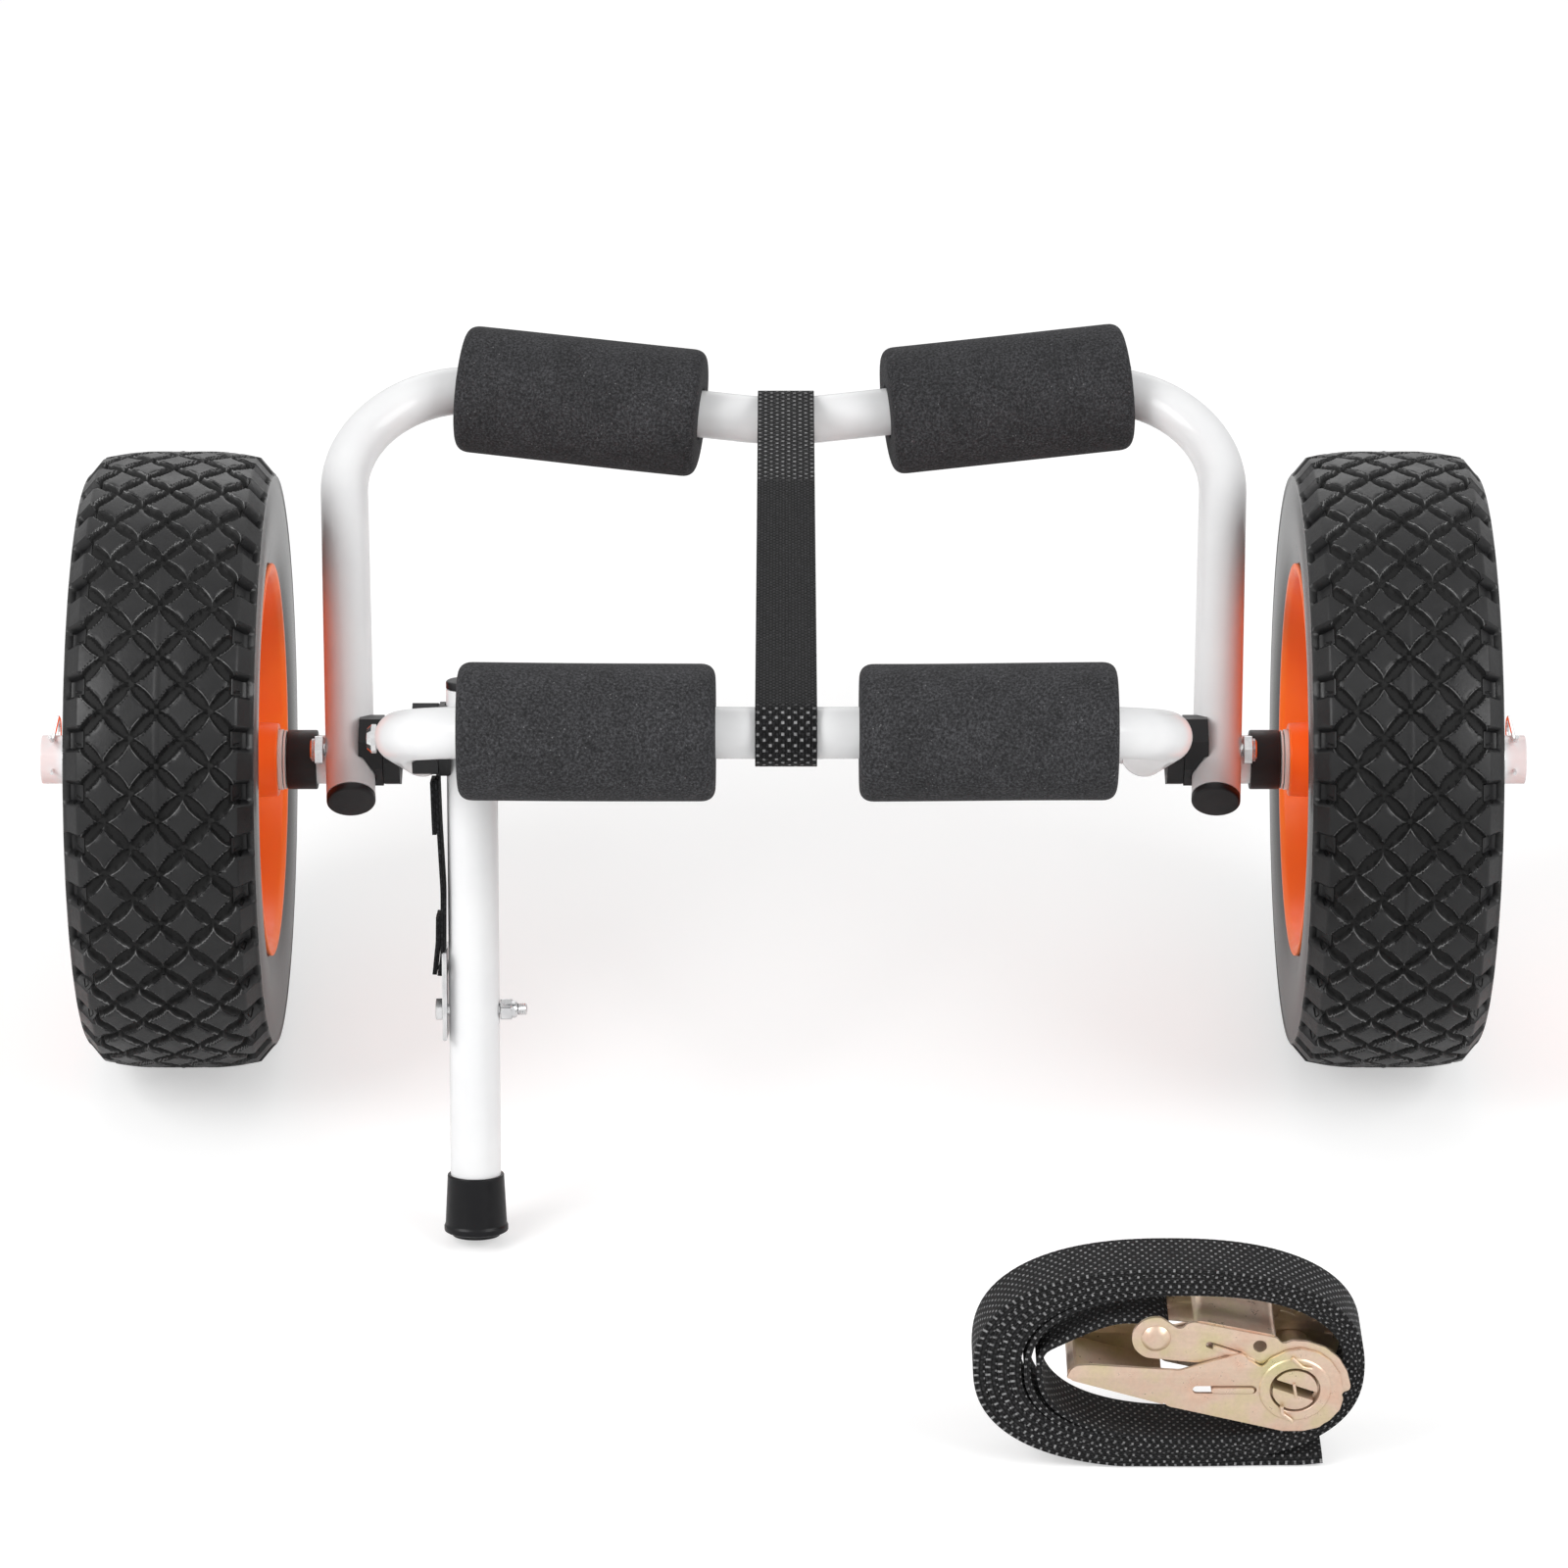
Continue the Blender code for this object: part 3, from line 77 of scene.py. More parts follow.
# %% Camera
AXLE = np.array([0.0, 0.0867, 0.127])
DOWN = math.radians(26.5)
DISTANCE = 2.7
LOWERED = 0.0101
look = Vector((0.0, math.cos(DOWN), -math.sin(DOWN)))
camera_up = Vector((0.0, math.sin(DOWN), math.cos(DOWN)))
lens = bpy.data.cameras.new("camera")
lens.lens = 150.2
lens.sensor_width = 36.0
camera = bpy.data.objects.new("camera", lens)
camera.location = Vector(AXLE) - DISTANCE * look - LOWERED * camera_up + Vector((0.0002, 0.0, 0.0))
camera.rotation_euler = look.to_track_quat("-Z", "Y").to_euler()
bpy.context.scene.collection.objects.link(camera)
bpy.context.scene.camera = camera
bpy.context.scene.view_settings.view_transform = "Standard"
print("camera at", [round(v, 3) for v in camera.location])

# %% [markdown]
# Most pieces here are surfaces on a grid: rows along the piece and columns round it. One function
# turns such a grid into a mesh, so every shape below only has to say where its points are.

# %% From a grid of points to a mesh
SAME_POINT = 0.000002
NO_EDGE = 0.0000005
SHARP = math.radians(38)
SIDES = ((-1, "left"), (1, "right"))
SLOTS = {
    "silver": "silver_tube",
    "weld": "silver_tube",
    "zinc": "zinc",
    "gold": "gold_zinc",
    "orange": "orange_rim",
    "tread": "black_tyre",
    "plastic": "black_plastic",
    "boot": "black_rubber",
    "foam": "grey_foam",
    "strap": "black_webbing",
    "wound": "black_webbing",
    "bush": "white_bush",
}
wanted = []


def quads_of(index):
    """The four corners of each cell in a grid of point numbers."""
    corners = [index[:-1, :-1], index[:-1, 1:], index[1:, 1:], index[1:, :-1]]
    return np.stack(corners, axis=-1).reshape(-1, 4)


def piece(name, points, body, finish, replaces=(), along=False, uv=None):
    """Quads between neighbouring points of a (rows, columns, 3) grid, whose last column joins the
    first; along joins the last row to the first as well. Faces are turned outwards."""
    rows, columns = points.shape[:2]
    index = np.arange(rows * columns).reshape(rows, columns)
    index = np.concatenate([index, index[:, :1]], axis=1)
    if along:
        index = np.concatenate([index, index[:1]], axis=0)
    quads = quads_of(index)
    flat = points.reshape(-1, 3)
    a, b, c, d = (flat[quads[:, k]] for k in range(4))
    volume = np.einsum("ij,ij->i", a, np.cross(b, c) + np.cross(c, d)).sum()
    order = [3, 2, 1, 0] if volume < 0 else [0, 1, 2, 3]
    quads = quads[:, order]
    mesh = bpy.data.meshes.new(name)
    mesh.vertices.add(len(flat))
    mesh.vertices.foreach_set("co", flat.astype(np.float32).ravel())
    mesh.loops.add(quads.size)
    mesh.loops.foreach_set("vertex_index", quads.astype(np.int32).ravel())
    mesh.polygons.add(len(quads))
    mesh.polygons.foreach_set("loop_start", np.arange(0, quads.size, 4, dtype=np.int32))
    mesh.update(calc_edges=True)
    if uv is not None:
        corners = quads_of(np.arange(uv.shape[0] * uv.shape[1]).reshape(uv.shape[:2]))[:, order]
        layer = mesh.uv_layers.new(name="UVMap")
        layer.data.foreach_set("uv", uv.reshape(-1, 2)[corners.ravel()].astype(np.float32).ravel())
    return dress(name, mesh, body, finish, replaces)


def dress(name, mesh, body, finish, replaces=()):
    """Merges doubled points, shades the mesh smooth and sets it on its body in its material slot.
    A piece given no body is left without one."""
    work = bmesh.new()
    work.from_mesh(mesh)
    bmesh.ops.remove_doubles(work, verts=work.verts, dist=SAME_POINT)
    bmesh.ops.dissolve_degenerate(work, edges=work.edges, dist=NO_EDGE)
    work.to_mesh(mesh)
    work.free()
    made = bpy.data.objects.new(name, mesh)
    bpy.context.scene.collection.objects.link(made)
    mesh.shade_smooth()
    mesh.set_sharp_from_angle(angle=SHARP)
    if body:
        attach(made, body)
    wanted.append((made, finish))
    if replaces:
        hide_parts(*([replaces] if isinstance(replaces, str) else replaces))
    print(f"{name}: {len(mesh.polygons)} faces")
    return made


# %% [markdown]
# Paths and curves turn up in nearly every piece, so a few short functions measure them, space their
# points evenly and smooth them.


def distance_along(path):
    """Each point's distance from the first, measured along the path."""
    return np.concatenate([[0.0], np.cumsum(np.linalg.norm(np.diff(path, axis=0), axis=1))])


def points_at(distance, run, path):
    """The path's points at the given distances, where run is the distance of each of its points."""
    return np.stack([np.interp(distance, run, column) for column in path.T], axis=-1)


def resampled(path, step):
    """The same path with points at even distances along it."""
    path = np.asarray(path, float)
    run = distance_along(path)
    return points_at(np.linspace(0.0, run[-1], max(2, round(run[-1] / step) + 1)), run, path)


def smoothed(values, width):
    """Each value becomes the mean of its neighbours, weighted by a bell of the given width."""
    bell = np.hanning(width) / np.hanning(width).sum()
    columns = values.reshape(len(values), -1).T
    spread = [np.convolve(np.pad(c, width // 2, mode="edge"), bell, mode="valid") for c in columns]
    return np.stack(spread, axis=-1).reshape(values.shape)


def full_turn(steps):
    """Even angles once round, without the last, which would be the first again."""
    return np.linspace(0.0, 2 * np.pi, steps, endpoint=False)


# %% [markdown]
# Turned pieces and bars share two ideas: a profile spun round a line, and a section carried along a
# path. Sharp corners of a profile are rounded first, because no real edge is perfectly sharp.


# %% Rounded corners, and lines bent at their corners
def eased(points, radius, closed=True, steps=4):
    """Each corner c becomes the curve (1-t)^2 a + 2t(1-t) c + t^2 b, where a and b lie on its two
    edges at the radius from c, or at 0.45 of a short edge."""
    points = np.asarray(points, float)
    radius = np.broadcast_to(np.asarray(radius, float), len(points))
    before, after = np.roll(points, 1, axis=0), np.roll(points, -1, axis=0)
    back, on = before - points, after - points
    back_long = np.maximum(np.linalg.norm(back, axis=1), 1e-9)
    on_long = np.maximum(np.linalg.norm(on, axis=1), 1e-9)
    reach = np.minimum(radius, 0.45 * np.minimum(back_long, on_long))
    if not closed:
        reach[0] = reach[-1] = 0.0
    a = points + back * (reach / back_long)[:, None]
    b = points + on * (reach / on_long)[:, None]
    t = np.linspace(0.0, 1.0, steps + 1)[None, :, None]
    curve = (1 - t) ** 2 * a[:, None] + 2 * t * (1 - t) * points[:, None] + t**2 * b[:, None]
    if closed:
        return curve.reshape(-1, 2)
    return np.concatenate([points[:1], curve[1:-1].reshape(-1, 2), points[-1:]])


def rounded_line(corners, radii, step=math.radians(4)):
    """A polyline in a plane whose inner corners are arcs that touch both straight runs."""
    corners = np.asarray(corners, float)
    parts = [corners[:1]]
    for before, here, after, radius in zip(corners, corners[1:], corners[2:], radii):
        back = (before - here) / np.linalg.norm(before - here)
        on = (after - here) / np.linalg.norm(after - here)
        half = math.acos(np.clip(back @ on, -1, 1)) / 2
        middle = here + (back + on) / np.linalg.norm(back + on) * radius / math.sin(half)
        first = here + back * radius / math.tan(half) - middle
        sweep = math.pi - 2 * half
        turn = -np.sign(back[0] * on[1] - back[1] * on[0])
        angle = turn * np.linspace(0.0, sweep, max(3, math.ceil(sweep / step)))
        x = first[0] * np.cos(angle) - first[1] * np.sin(angle)
        y = first[0] * np.sin(angle) + first[1] * np.cos(angle)
        parts.append(middle + np.stack([x, y], axis=-1))
    return np.concatenate(parts + [corners[-1:]])


# %% Spins and sweeps
def spun(profile, centre, axis="x", steps=64, swell=None):
    """Rows of (radius, height) spun about an axis: radius times (cos a, sin a) across it, height
    along it. swell(angle, profile) may return a radius for each row and angle."""
    profile = np.asarray(profile, float)
    angle = full_turn(steps)
    radius = np.repeat(profile[:, :1], steps, axis=1)
    if swell is not None:
        radius = swell(angle[None, :], profile)
    height = np.repeat(profile[:, 1:], steps, axis=1)
    first, second = radius * np.cos(angle), radius * np.sin(angle)
    parts = {"x": (height, first, second), "y": (second, height, first)}
    return np.stack(parts[axis], axis=-1) + np.asarray(centre, float)


def swept(path, section, side):
    """A section of (across, up) points at every point of a path: across along the fixed side
    direction, up at right angles to both the side and the path."""
    path = np.asarray(path, float)
    side = np.asarray(side, float)
    up = np.cross(np.gradient(path, axis=0), side)
    up /= np.linalg.norm(up, axis=1)[:, None]
    section = np.asarray(section, float)
    if section.ndim == 2:
        section = np.repeat(section[None], len(path), axis=0)
    return path[:, None] + section[:, :, :1] * side + section[:, :, 1:] * up[:, None]


def ring(radius, sides=40):
    """Points on a circle: (radius cos a, radius sin a)."""
    angle = full_turn(sides)
    return np.stack([radius * np.cos(angle), radius * np.sin(angle)], axis=-1)


def walled(path, side, outer, inner):
    """An open tube: the outer wall out along the path and the inner one back, so its ends close."""
    return np.concatenate([swept(path, ring(outer), side), swept(path, ring(inner), side)[::-1]])


def with_poles(points):
    """The same rows and one more at each end, whose points all lie in the middle of the end row."""
    first, last = (row.mean(axis=1, keepdims=True) for row in (points[:1], points[-1:]))
    count = points.shape[1]
    return np.concatenate([np.repeat(first, count, 1), points, np.repeat(last, count, 1)])


# %% [markdown]
# Both leg frames are bent from 20 mm tube, each in its own plane through the fold pivot. The rear
# legs splay a little, and both bars dip in the middle to cradle the hull.

# %% Sizes of the two leg frames
TUBE_R = 0.0100
BORE_R = 0.0085
PIVOT = np.array([0.0, 0.06953377, 0.13975462])
REAR_TILT = math.radians(28.5)
FRONT_TILT = math.radians(28.4)
REAR_HALF = 0.1775
FRONT_HALF = 0.1492
REAR_SPLAY = math.radians(3.2)
BAR_APEX = 0.1702
BAR_SLOPE = math.radians(7.8)
CORNER_R = 0.0520
MIDDLE_R = 0.1100
LEG_TAIL = 0.0228
ACROSS = np.array([1.0, 0.0, 0.0])
REAR_UP = np.array([0.0, math.cos(REAR_TILT), math.sin(REAR_TILT)])
REAR_OUT = np.array([0.0, -math.sin(REAR_TILT), math.cos(REAR_TILT)])
FRONT_UP = np.array([0.0, -math.cos(FRONT_TILT), math.sin(FRONT_TILT)])
FRONT_OUT = np.array([0.0, -math.sin(FRONT_TILT), -math.cos(FRONT_TILT)])


def leg_line(half, splay):
    """Leg, corner, bar with its shallow dip, corner, leg, as (across, up the leg) points."""
    lean, slope = math.tan(splay), math.tan(BAR_SLOPE)
    corner = (half + BAR_APEX * lean) / (1 - slope * lean)
    foot = half - LEG_TAIL * lean
    top = BAR_APEX + corner * slope
    left, right = [(-foot, -LEG_TAIL), (-corner, top)], [(corner, top), (foot, -LEG_TAIL)]
    return rounded_line(left + [(0.0, BAR_APEX)] + right, (CORNER_R, MIDDLE_R, CORNER_R))


def on_plane(line, up):
    """Points (across, up the leg) carried to the plane through the fold pivot."""
    line = np.asarray(line, float)
    return PIVOT + line[..., :1] * ACROSS + line[..., 1:] * up


# %% Bend the two frames
rear_line = leg_line(REAR_HALF, REAR_SPLAY)
front_line = leg_line(FRONT_HALF, 0.0)
for key, line, up, out in (
    ("rear", rear_line, REAR_UP, REAR_OUT), ("front", front_line, FRONT_UP, FRONT_OUT),
):
    tube = walled(on_plane(line, up), out, TUBE_R, BORE_R)
    piece(f"{key}_tube", tube, f"{key}_frame", "silver", f"{key}_frame", along=True)

# %% [markdown]
# The stub axles are short lengths of the same tube, welded under the rear legs. The weld is an
# uneven bead round the spot where the two tubes touch.

# %% Stub axles and their welds
STUB_START = 0.1739
STUB_END = 0.3058
WELD_R = 0.0058
BEAD = 0.0017
SADDLED = 0.35


def weld_points(side):
    """A ring whose bead wavers with two sines of the angle. Its height follows the saddle where two
    tubes cross: the square of one distance less the square of the other, over the tube's radius."""
    around, across = np.meshgrid(full_turn(72), full_turn(14))
    bead = BEAD + 0.0003 * np.sin(17 * around) + 0.0002 * np.sin(5 * around + 1)
    reach = WELD_R + bead * np.cos(across)
    level, upward = reach * np.cos(around), reach * np.sin(around)
    lift = bead * np.sin(across) + SADDLED * (level**2 - upward**2) / TUBE_R
    touch = AXLE + REAR_OUT * 0.0098 + side * (REAR_HALF + 0.0005) * ACROSS
    flat = level[..., None] * ACROSS + upward[..., None] * REAR_UP
    return touch + flat + lift[..., None] * REAR_OUT


for side, word in SIDES:
    wall = [(TUBE_R, STUB_START), (TUBE_R, STUB_END), (BORE_R, STUB_END), (BORE_R, STUB_START)]
    stub = spun(eased(wall, 0.0004) * (1, side), AXLE, steps=48)
    piece(f"{word}_stub_axle", stub, "rear_frame", "silver", along=True)
    piece(f"{word}_axle_weld", weld_points(side), "rear_frame", "weld", along=True)

# %% [markdown]
# The caps in the legs' ends are turned plastic plugs with a rounded rim, flush with the tube.

# %% Caps in the tube ends
CAP_HEIGHT = 0.0033
CAP_PLUG_R = 0.0080


def turned_along(profile, at, way, steps=48):
    """A (radius, height) profile spun about a line through a point, height along the line."""
    way = np.asarray(way, float) / np.linalg.norm(way)
    angle = full_turn(steps)
    first = np.cross(way, ACROSS)
    first /= np.linalg.norm(first)
    second = np.cross(way, first)
    profile = np.asarray(profile, float)
    circle = np.cos(angle)[:, None] * first + np.sin(angle)[:, None] * second
    return np.asarray(at, float) + profile[:, None, :1] * circle + profile[:, None, 1:] * way


def cap_profile(plug):
    """Rim of the tube's radius above its end and a narrower plug below it, from pole to pole."""
    corners = [(0, CAP_HEIGHT), (TUBE_R, CAP_HEIGHT), (TUBE_R, 0.0003)]
    corners += [(CAP_PLUG_R, 0.0003), (CAP_PLUG_R, -plug), (0, -plug)]
    return eased(corners, [0, 0.0010, 0.0003, 0, 0.0006, 0], closed=False)


lean = math.tan(REAR_SPLAY)
for side, word in SIDES:
    rear_end = on_plane((side * (REAR_HALF - LEG_TAIL * lean), -LEG_TAIL), REAR_UP)
    front_end = on_plane((side * FRONT_HALF, -LEG_TAIL), FRONT_UP)
    for key, end, down in (
        ("rear", rear_end, -REAR_UP - side * lean * ACROSS), ("front", front_end, -FRONT_UP),
    ):
        cap = turned_along(cap_profile(0.010), end, down)
        piece(f"{word}_{key}_cap", cap, f"{key}_frame", "plastic", f"{word}_{key}_leg_cap")

# %% [markdown]
# Each foam pad is a thick sleeve cut from extruded closed-cell foam, pushed on before the tube was
# bent, so its bore follows the bar's curve. Its skin is a little uneven and its ends are rounded.

# %% Foam pads
FOAM_BORE = 0.0111
FOAM_CORNER = 0.0058
FOAM_GIVES = 0.003
REAR_FOAM = (0.0270, 0.103)
FRONT_FOAM = (0.0264, 0.099)


def foam_profile(radius, reach):
    """Two corners, the outside, two corners and the bore, as (radius, distance along) points."""
    corners = [(FOAM_BORE, -reach), (radius, -reach), (radius, reach), (FOAM_BORE, reach)]
    ends = eased(corners, [0.0008, FOAM_CORNER, FOAM_CORNER, 0.0008], steps=8)
    outside = np.stack([np.full(32, radius), np.linspace(-reach, reach, 40)[4:36]], axis=-1)
    back = np.linspace(reach - 0.003, 0.003 - reach, 18)
    bore = np.stack([np.full(18, FOAM_BORE), back], axis=-1)
    return np.concatenate([ends[:18], outside, ends[18:], bore])


def foam_sleeve(name, x, size, line, up, out, body, replaces, seed, lean=BAR_SLOPE):
    """The profile spun about the bar; the radius swells by a few slow waves. The bore follows the
    bent tube and the rest a straight line, mixed in the innermost 3 mm of the wall. Where lean is
    0 the ends are cut square across the trolley."""
    radius, length = size
    reach = length / 2
    profile = foam_profile(radius, reach)
    angle = full_turn(96)
    wave = 0.0045 * np.sin(2 * angle + seed)[None] * np.sin(31 * profile[:, 1:] + seed)
    wave = wave + 0.0035 * np.sin(3 * angle + 2 * seed)[None] * np.cos(53 * profile[:, 1:] - seed)
    share = np.clip((profile[:, :1] - FOAM_BORE) / (radius - FOAM_BORE), 0, 1)
    r = profile[:, :1] * (1 + wave * share)
    rise = (r * np.cos(angle))[..., None]
    run = distance_along(line)
    along = np.interp(x, line[:, 0], run) + profile[:, 1]
    way = points_at(along + 0.006, run, line) - points_at(along - 0.006, run, line)
    way = way / np.linalg.norm(way, axis=1)[:, None]
    across = np.stack([-way[:, 1], way[:, 0]], axis=-1)
    bent = points_at(along, run, line)[:, None] + rise * across[:, None]
    at = x + profile[:, 1] * math.cos(BAR_SLOPE)
    bar = np.stack([at, BAR_APEX + np.abs(at) * math.tan(BAR_SLOPE)], axis=-1)
    square = np.array([-math.copysign(math.sin(lean), x), math.cos(lean)])
    straight = bar[:, None] + rise * square
    outer = np.clip((profile[:, :1] - FOAM_BORE) / FOAM_GIVES, 0, 1)
    flat = bent + (straight - bent) * outer[..., None]
    if not lean:
        far = reach * math.cos(BAR_SLOPE)
        flat[..., 0] = np.clip(flat[..., 0], x - far, x + far)
    points = on_plane(flat, up) + (r * np.sin(angle))[..., None] * out
    made = piece(name, points, body, "foam", replaces, along=True)


for x, word, seed in ((-0.0860, "left", 1.0), (0.0950, "right", 2.3)):
    foam_sleeve(
        f"{word}_rear_foam", x, REAR_FOAM, rear_line, REAR_UP, REAR_OUT,
        "rear_frame", f"{word}_rear_pad", seed,
    )
for x, word, seed in ((-0.0750, "left", 3.1), (0.0780, "right", 4.7)):
    foam_sleeve(
        f"{word}_front_foam", x, FRONT_FOAM, front_line, FRONT_UP, FRONT_OUT,
        "front_frame", f"{word}_front_pad", seed, 0.0,
    )

# %% [markdown]
# A length of webbing ties the two bars together so that the frames can only open so far. Each end
# goes round a bar, comes back under the top run and is sewn down. It is one flat section carried
# along one line in the plane across the bars. It is set on no body, and its place is baked into its
# points.

# %% Strap between the bars
STRAP_X = 0.0010
STRAP_WIDTH = 0.0250
STRAP = 0.0016
EYE_R = 0.01207
LAP = 0.0450
LAP_DROP = 0.0018
LEAVE = 0.0280


def strip(name, path, width, thick, side, body, finish, replaces=()):
    """A flat strip along a path. Its edges are drawn in by 0.5 t (1 - sqrt(1 - (2v)^2)), where t is
    the thickness and v the place through it. Its UV is (distance round, distance along), in m."""
    half = width / 2
    section = eased([(-half, -0.5), (half, -0.5), (half, 0.5), (-half, 0.5)], 0.45, steps=3)
    thick = np.broadcast_to(np.asarray(thick, float), len(path))
    drawn_in = 1 - np.sqrt(np.clip(1 - (2 * section[None, :, 1]) ** 2, 0, 1))
    sections = np.repeat(section[None], len(path), axis=0)
    sections[:, :, 0] = np.sign(section[:, 0]) * (half - 0.5 * thick[:, None] * drawn_in)
    sections[:, :, 1] *= thick[:, None]
    loop = np.concatenate([sections, sections[:, :1]], axis=1)
    edge = np.linalg.norm(np.diff(loop, axis=1), axis=2).mean(axis=0)
    girth = np.concatenate([[0.0], np.cumsum(edge)])
    uv = np.stack(np.broadcast_arrays(girth[None], distance_along(path)[:, None]), axis=-1)
    uv = np.concatenate([uv[:1], uv, uv[-1:]])
    return piece(name, with_poles(swept(path, sections, side)), body, finish, replaces, uv=uv)


eye_up = BAR_APEX + MIDDLE_R * (1 / math.cos(BAR_SLOPE) - 1)
rear_eye = PIVOT + REAR_UP * eye_up
front_eye = PIVOT + FRONT_UP * eye_up
SPAN = float(np.linalg.norm(rear_eye - front_eye))
strap_way = (rear_eye - front_eye) / SPAN
strap_up = np.array([0.0, -strap_way[2], strap_way[1]])
lap_up = EYE_R - LAP_DROP
slope_down = math.asin(EYE_R / math.hypot(LEAVE, lap_up)) + math.atan2(lap_up, LEAVE)
turns = np.linspace(-math.pi / 2 - slope_down, math.pi / 2, 60)
eye = np.stack([SPAN + EYE_R * np.cos(turns), EYE_R * np.sin(turns)], axis=-1)
lap = [(SPAN - LAP, lap_up), (SPAN - LEAVE - 0.004, lap_up), (SPAN - LEAVE + 0.004, lap_up - 0.002)]
half_line = np.concatenate([lap, eye])
other = half_line[::-1] * (-1, 1) + (SPAN, 0)
middle = [(SPAN / 2, EYE_R - 0.0006)]
strap_line = resampled(np.concatenate([half_line, middle, other]), 0.0018)
strap_path = front_eye + strap_line[:, :1] * strap_way + strap_line[:, 1:] * strap_up
strap_path[:, 0] = STRAP_X
limiter = strip(
    "limiter_webbing", strap_path, STRAP_WIDTH, STRAP, ACROSS, None, "strap", "limiter_strap"
)
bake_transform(limiter)

# %% [markdown]
# Bolts, nuts and threads are real shapes here: a hexagon is a spin whose radius follows six flats,
# and a thread is a spin whose radius rises and falls as the angle and the height go on together.

# %% Bolts and nuts
THREAD_PITCH = 0.0009
THREAD_DEPTH = 0.00042


def hexagon(angle):
    """How far a hexagon's edge lies at an angle, over the distance of its flats: 1 over the cosine
    of the angle from the middle of the nearest flat."""
    return 1 / np.cos((angle + np.pi / 6) % (np.pi / 3) - np.pi / 6)


def threaded(angle, profile):
    """The profile's radius less a wave of the thread's depth, one turn a pitch."""
    phase = profile[:, 1:] / THREAD_PITCH - angle / (2 * np.pi)
    wave = np.abs(2 * (phase % 1.0) - 1.0)
    return profile[:, :1] - THREAD_DEPTH * wave * (profile[:, :1] > 0.001)


def nut_points(flat, low, high, bore, centre, way, lock=True):
    """A hexagon nut from low to high along X, with chamfers and a domed collar that locks it."""
    tall = high - low
    body_top = high - 0.3 * tall if lock else high
    profile = [(bore, low), (flat * 0.93, low), (flat * 1.13, low + 0.06 * tall)]
    profile += [(flat * 1.13, body_top - 0.06 * tall), (flat * 0.95, body_top)]
    if lock:
        profile += [(flat * 0.86, body_top), (flat * 0.84, high - 0.1 * tall), (flat * 0.72, high)]
    profile = np.asarray(profile + [(bore, high)])
    if way < 0:
        profile = np.stack([profile[:, 0], low + high - profile[:, 1]], axis=-1)

    def law(angle, rows):
        limit = np.where(rows[:, :1] > flat * 0.9, flat * hexagon(angle), 1.0)
        return np.minimum(rows[:, :1], limit)

    return spun(profile, centre, steps=96, swell=law)


def shank(radius, low, high, thread_low, thread_high, centre):
    """A round bar along X that is threaded between two stations."""
    even = np.linspace(low + 0.0004, high - 0.0004, 150)
    rows = np.concatenate([[low, low + 0.0003], even, [high - 0.0002, high]])
    radii = np.full(len(rows), radius)
    radii[[0, -1]] = 0.0
    radii[[1, -2]] = radius * 0.86
    in_thread = ((rows > thread_low) & (rows < thread_high))[:, None]

    def law(angle, profile):
        return np.where(in_thread, threaded(angle, profile), profile[:, :1])

    return spun(np.stack([radii, rows], axis=-1), centre, steps=32, swell=law)


def button_head(radius, height, face, way, centre):
    """A domed head with a hexagon socket, its seat at face, rising along -way."""
    shares = [(0.0, -0.45), (0.42, -0.45), (0.42, -0.97), (0.60, -0.99)]
    shares += [(0.86, -0.72), (1.0, -0.25), (1.0, 0.0), (0, 0.0)]
    profile = eased([(r * radius, h * height) for r, h in shares], 0.0003, closed=False)

    def law(angle, rows):
        socket = rows[:, :1] * hexagon(angle) * 0.9
        return np.where(rows[:, :1] < 0.45 * radius, socket, rows[:, :1])

    return spun(profile * (1, way) + (0, face), centre, steps=72, swell=law)


# %% Fold bolts and their lock nuts
HEAD_FACE = 0.1389
NUT_FACE = 0.18812
NUT_TALL = 0.0055
BOLT_PAST = 0.0058
THREAD_FROM = 0.15
for side, word in SIDES:
    head = button_head(0.0057, 0.0030, side * HEAD_FACE, side, PIVOT)
    piece(f"{word}_fold_head", head, "front_frame", "zinc")
    low, high = sorted((side * HEAD_FACE, side * (NUT_FACE + BOLT_PAST)))
    worn = (THREAD_FROM, high) if side > 0 else (low, -THREAD_FROM)
    bolt = shank(0.0030, low, high, *worn, PIVOT)
    piece(f"{word}_fold_shank", bolt, "front_frame", "zinc", f"{word}_pivot_bolt")
    low, high = sorted((side * NUT_FACE, side * (NUT_FACE + NUT_TALL)))
    nut = nut_points(0.0056, low, high, 0.0031, PIVOT, side)
    piece(f"{word}_fold_nut", nut, "front_frame", "zinc", f"{word}_pivot_nut", along=True)

# %% [markdown]
# The stand hangs from the left front leg. Its own axes run down the tube, so its pieces are made in
# those axes and carried over. The boot is turned rubber. A webbing lanyard is bolted to the tube.

# %% The stand's axes, tube, boot and cap
STAND_X = -0.1220
STAND_TOP = -0.020
STAND_LEAN = math.radians(15.7)
STAND_PIVOT = np.array([0.0, -0.03338516, 0.19540263])
STAND_DOWN = np.array([0.0, -math.sin(STAND_LEAN), -math.cos(STAND_LEAN)])
STAND_BACK = np.array([0.0, math.cos(STAND_LEAN), -math.sin(STAND_LEAN)])
SOLE = 0.2003


def on_stand(x, down):
    """A point by its distance across and down the stand's tube."""
    return STAND_PIVOT + x * ACROSS + down * STAND_DOWN


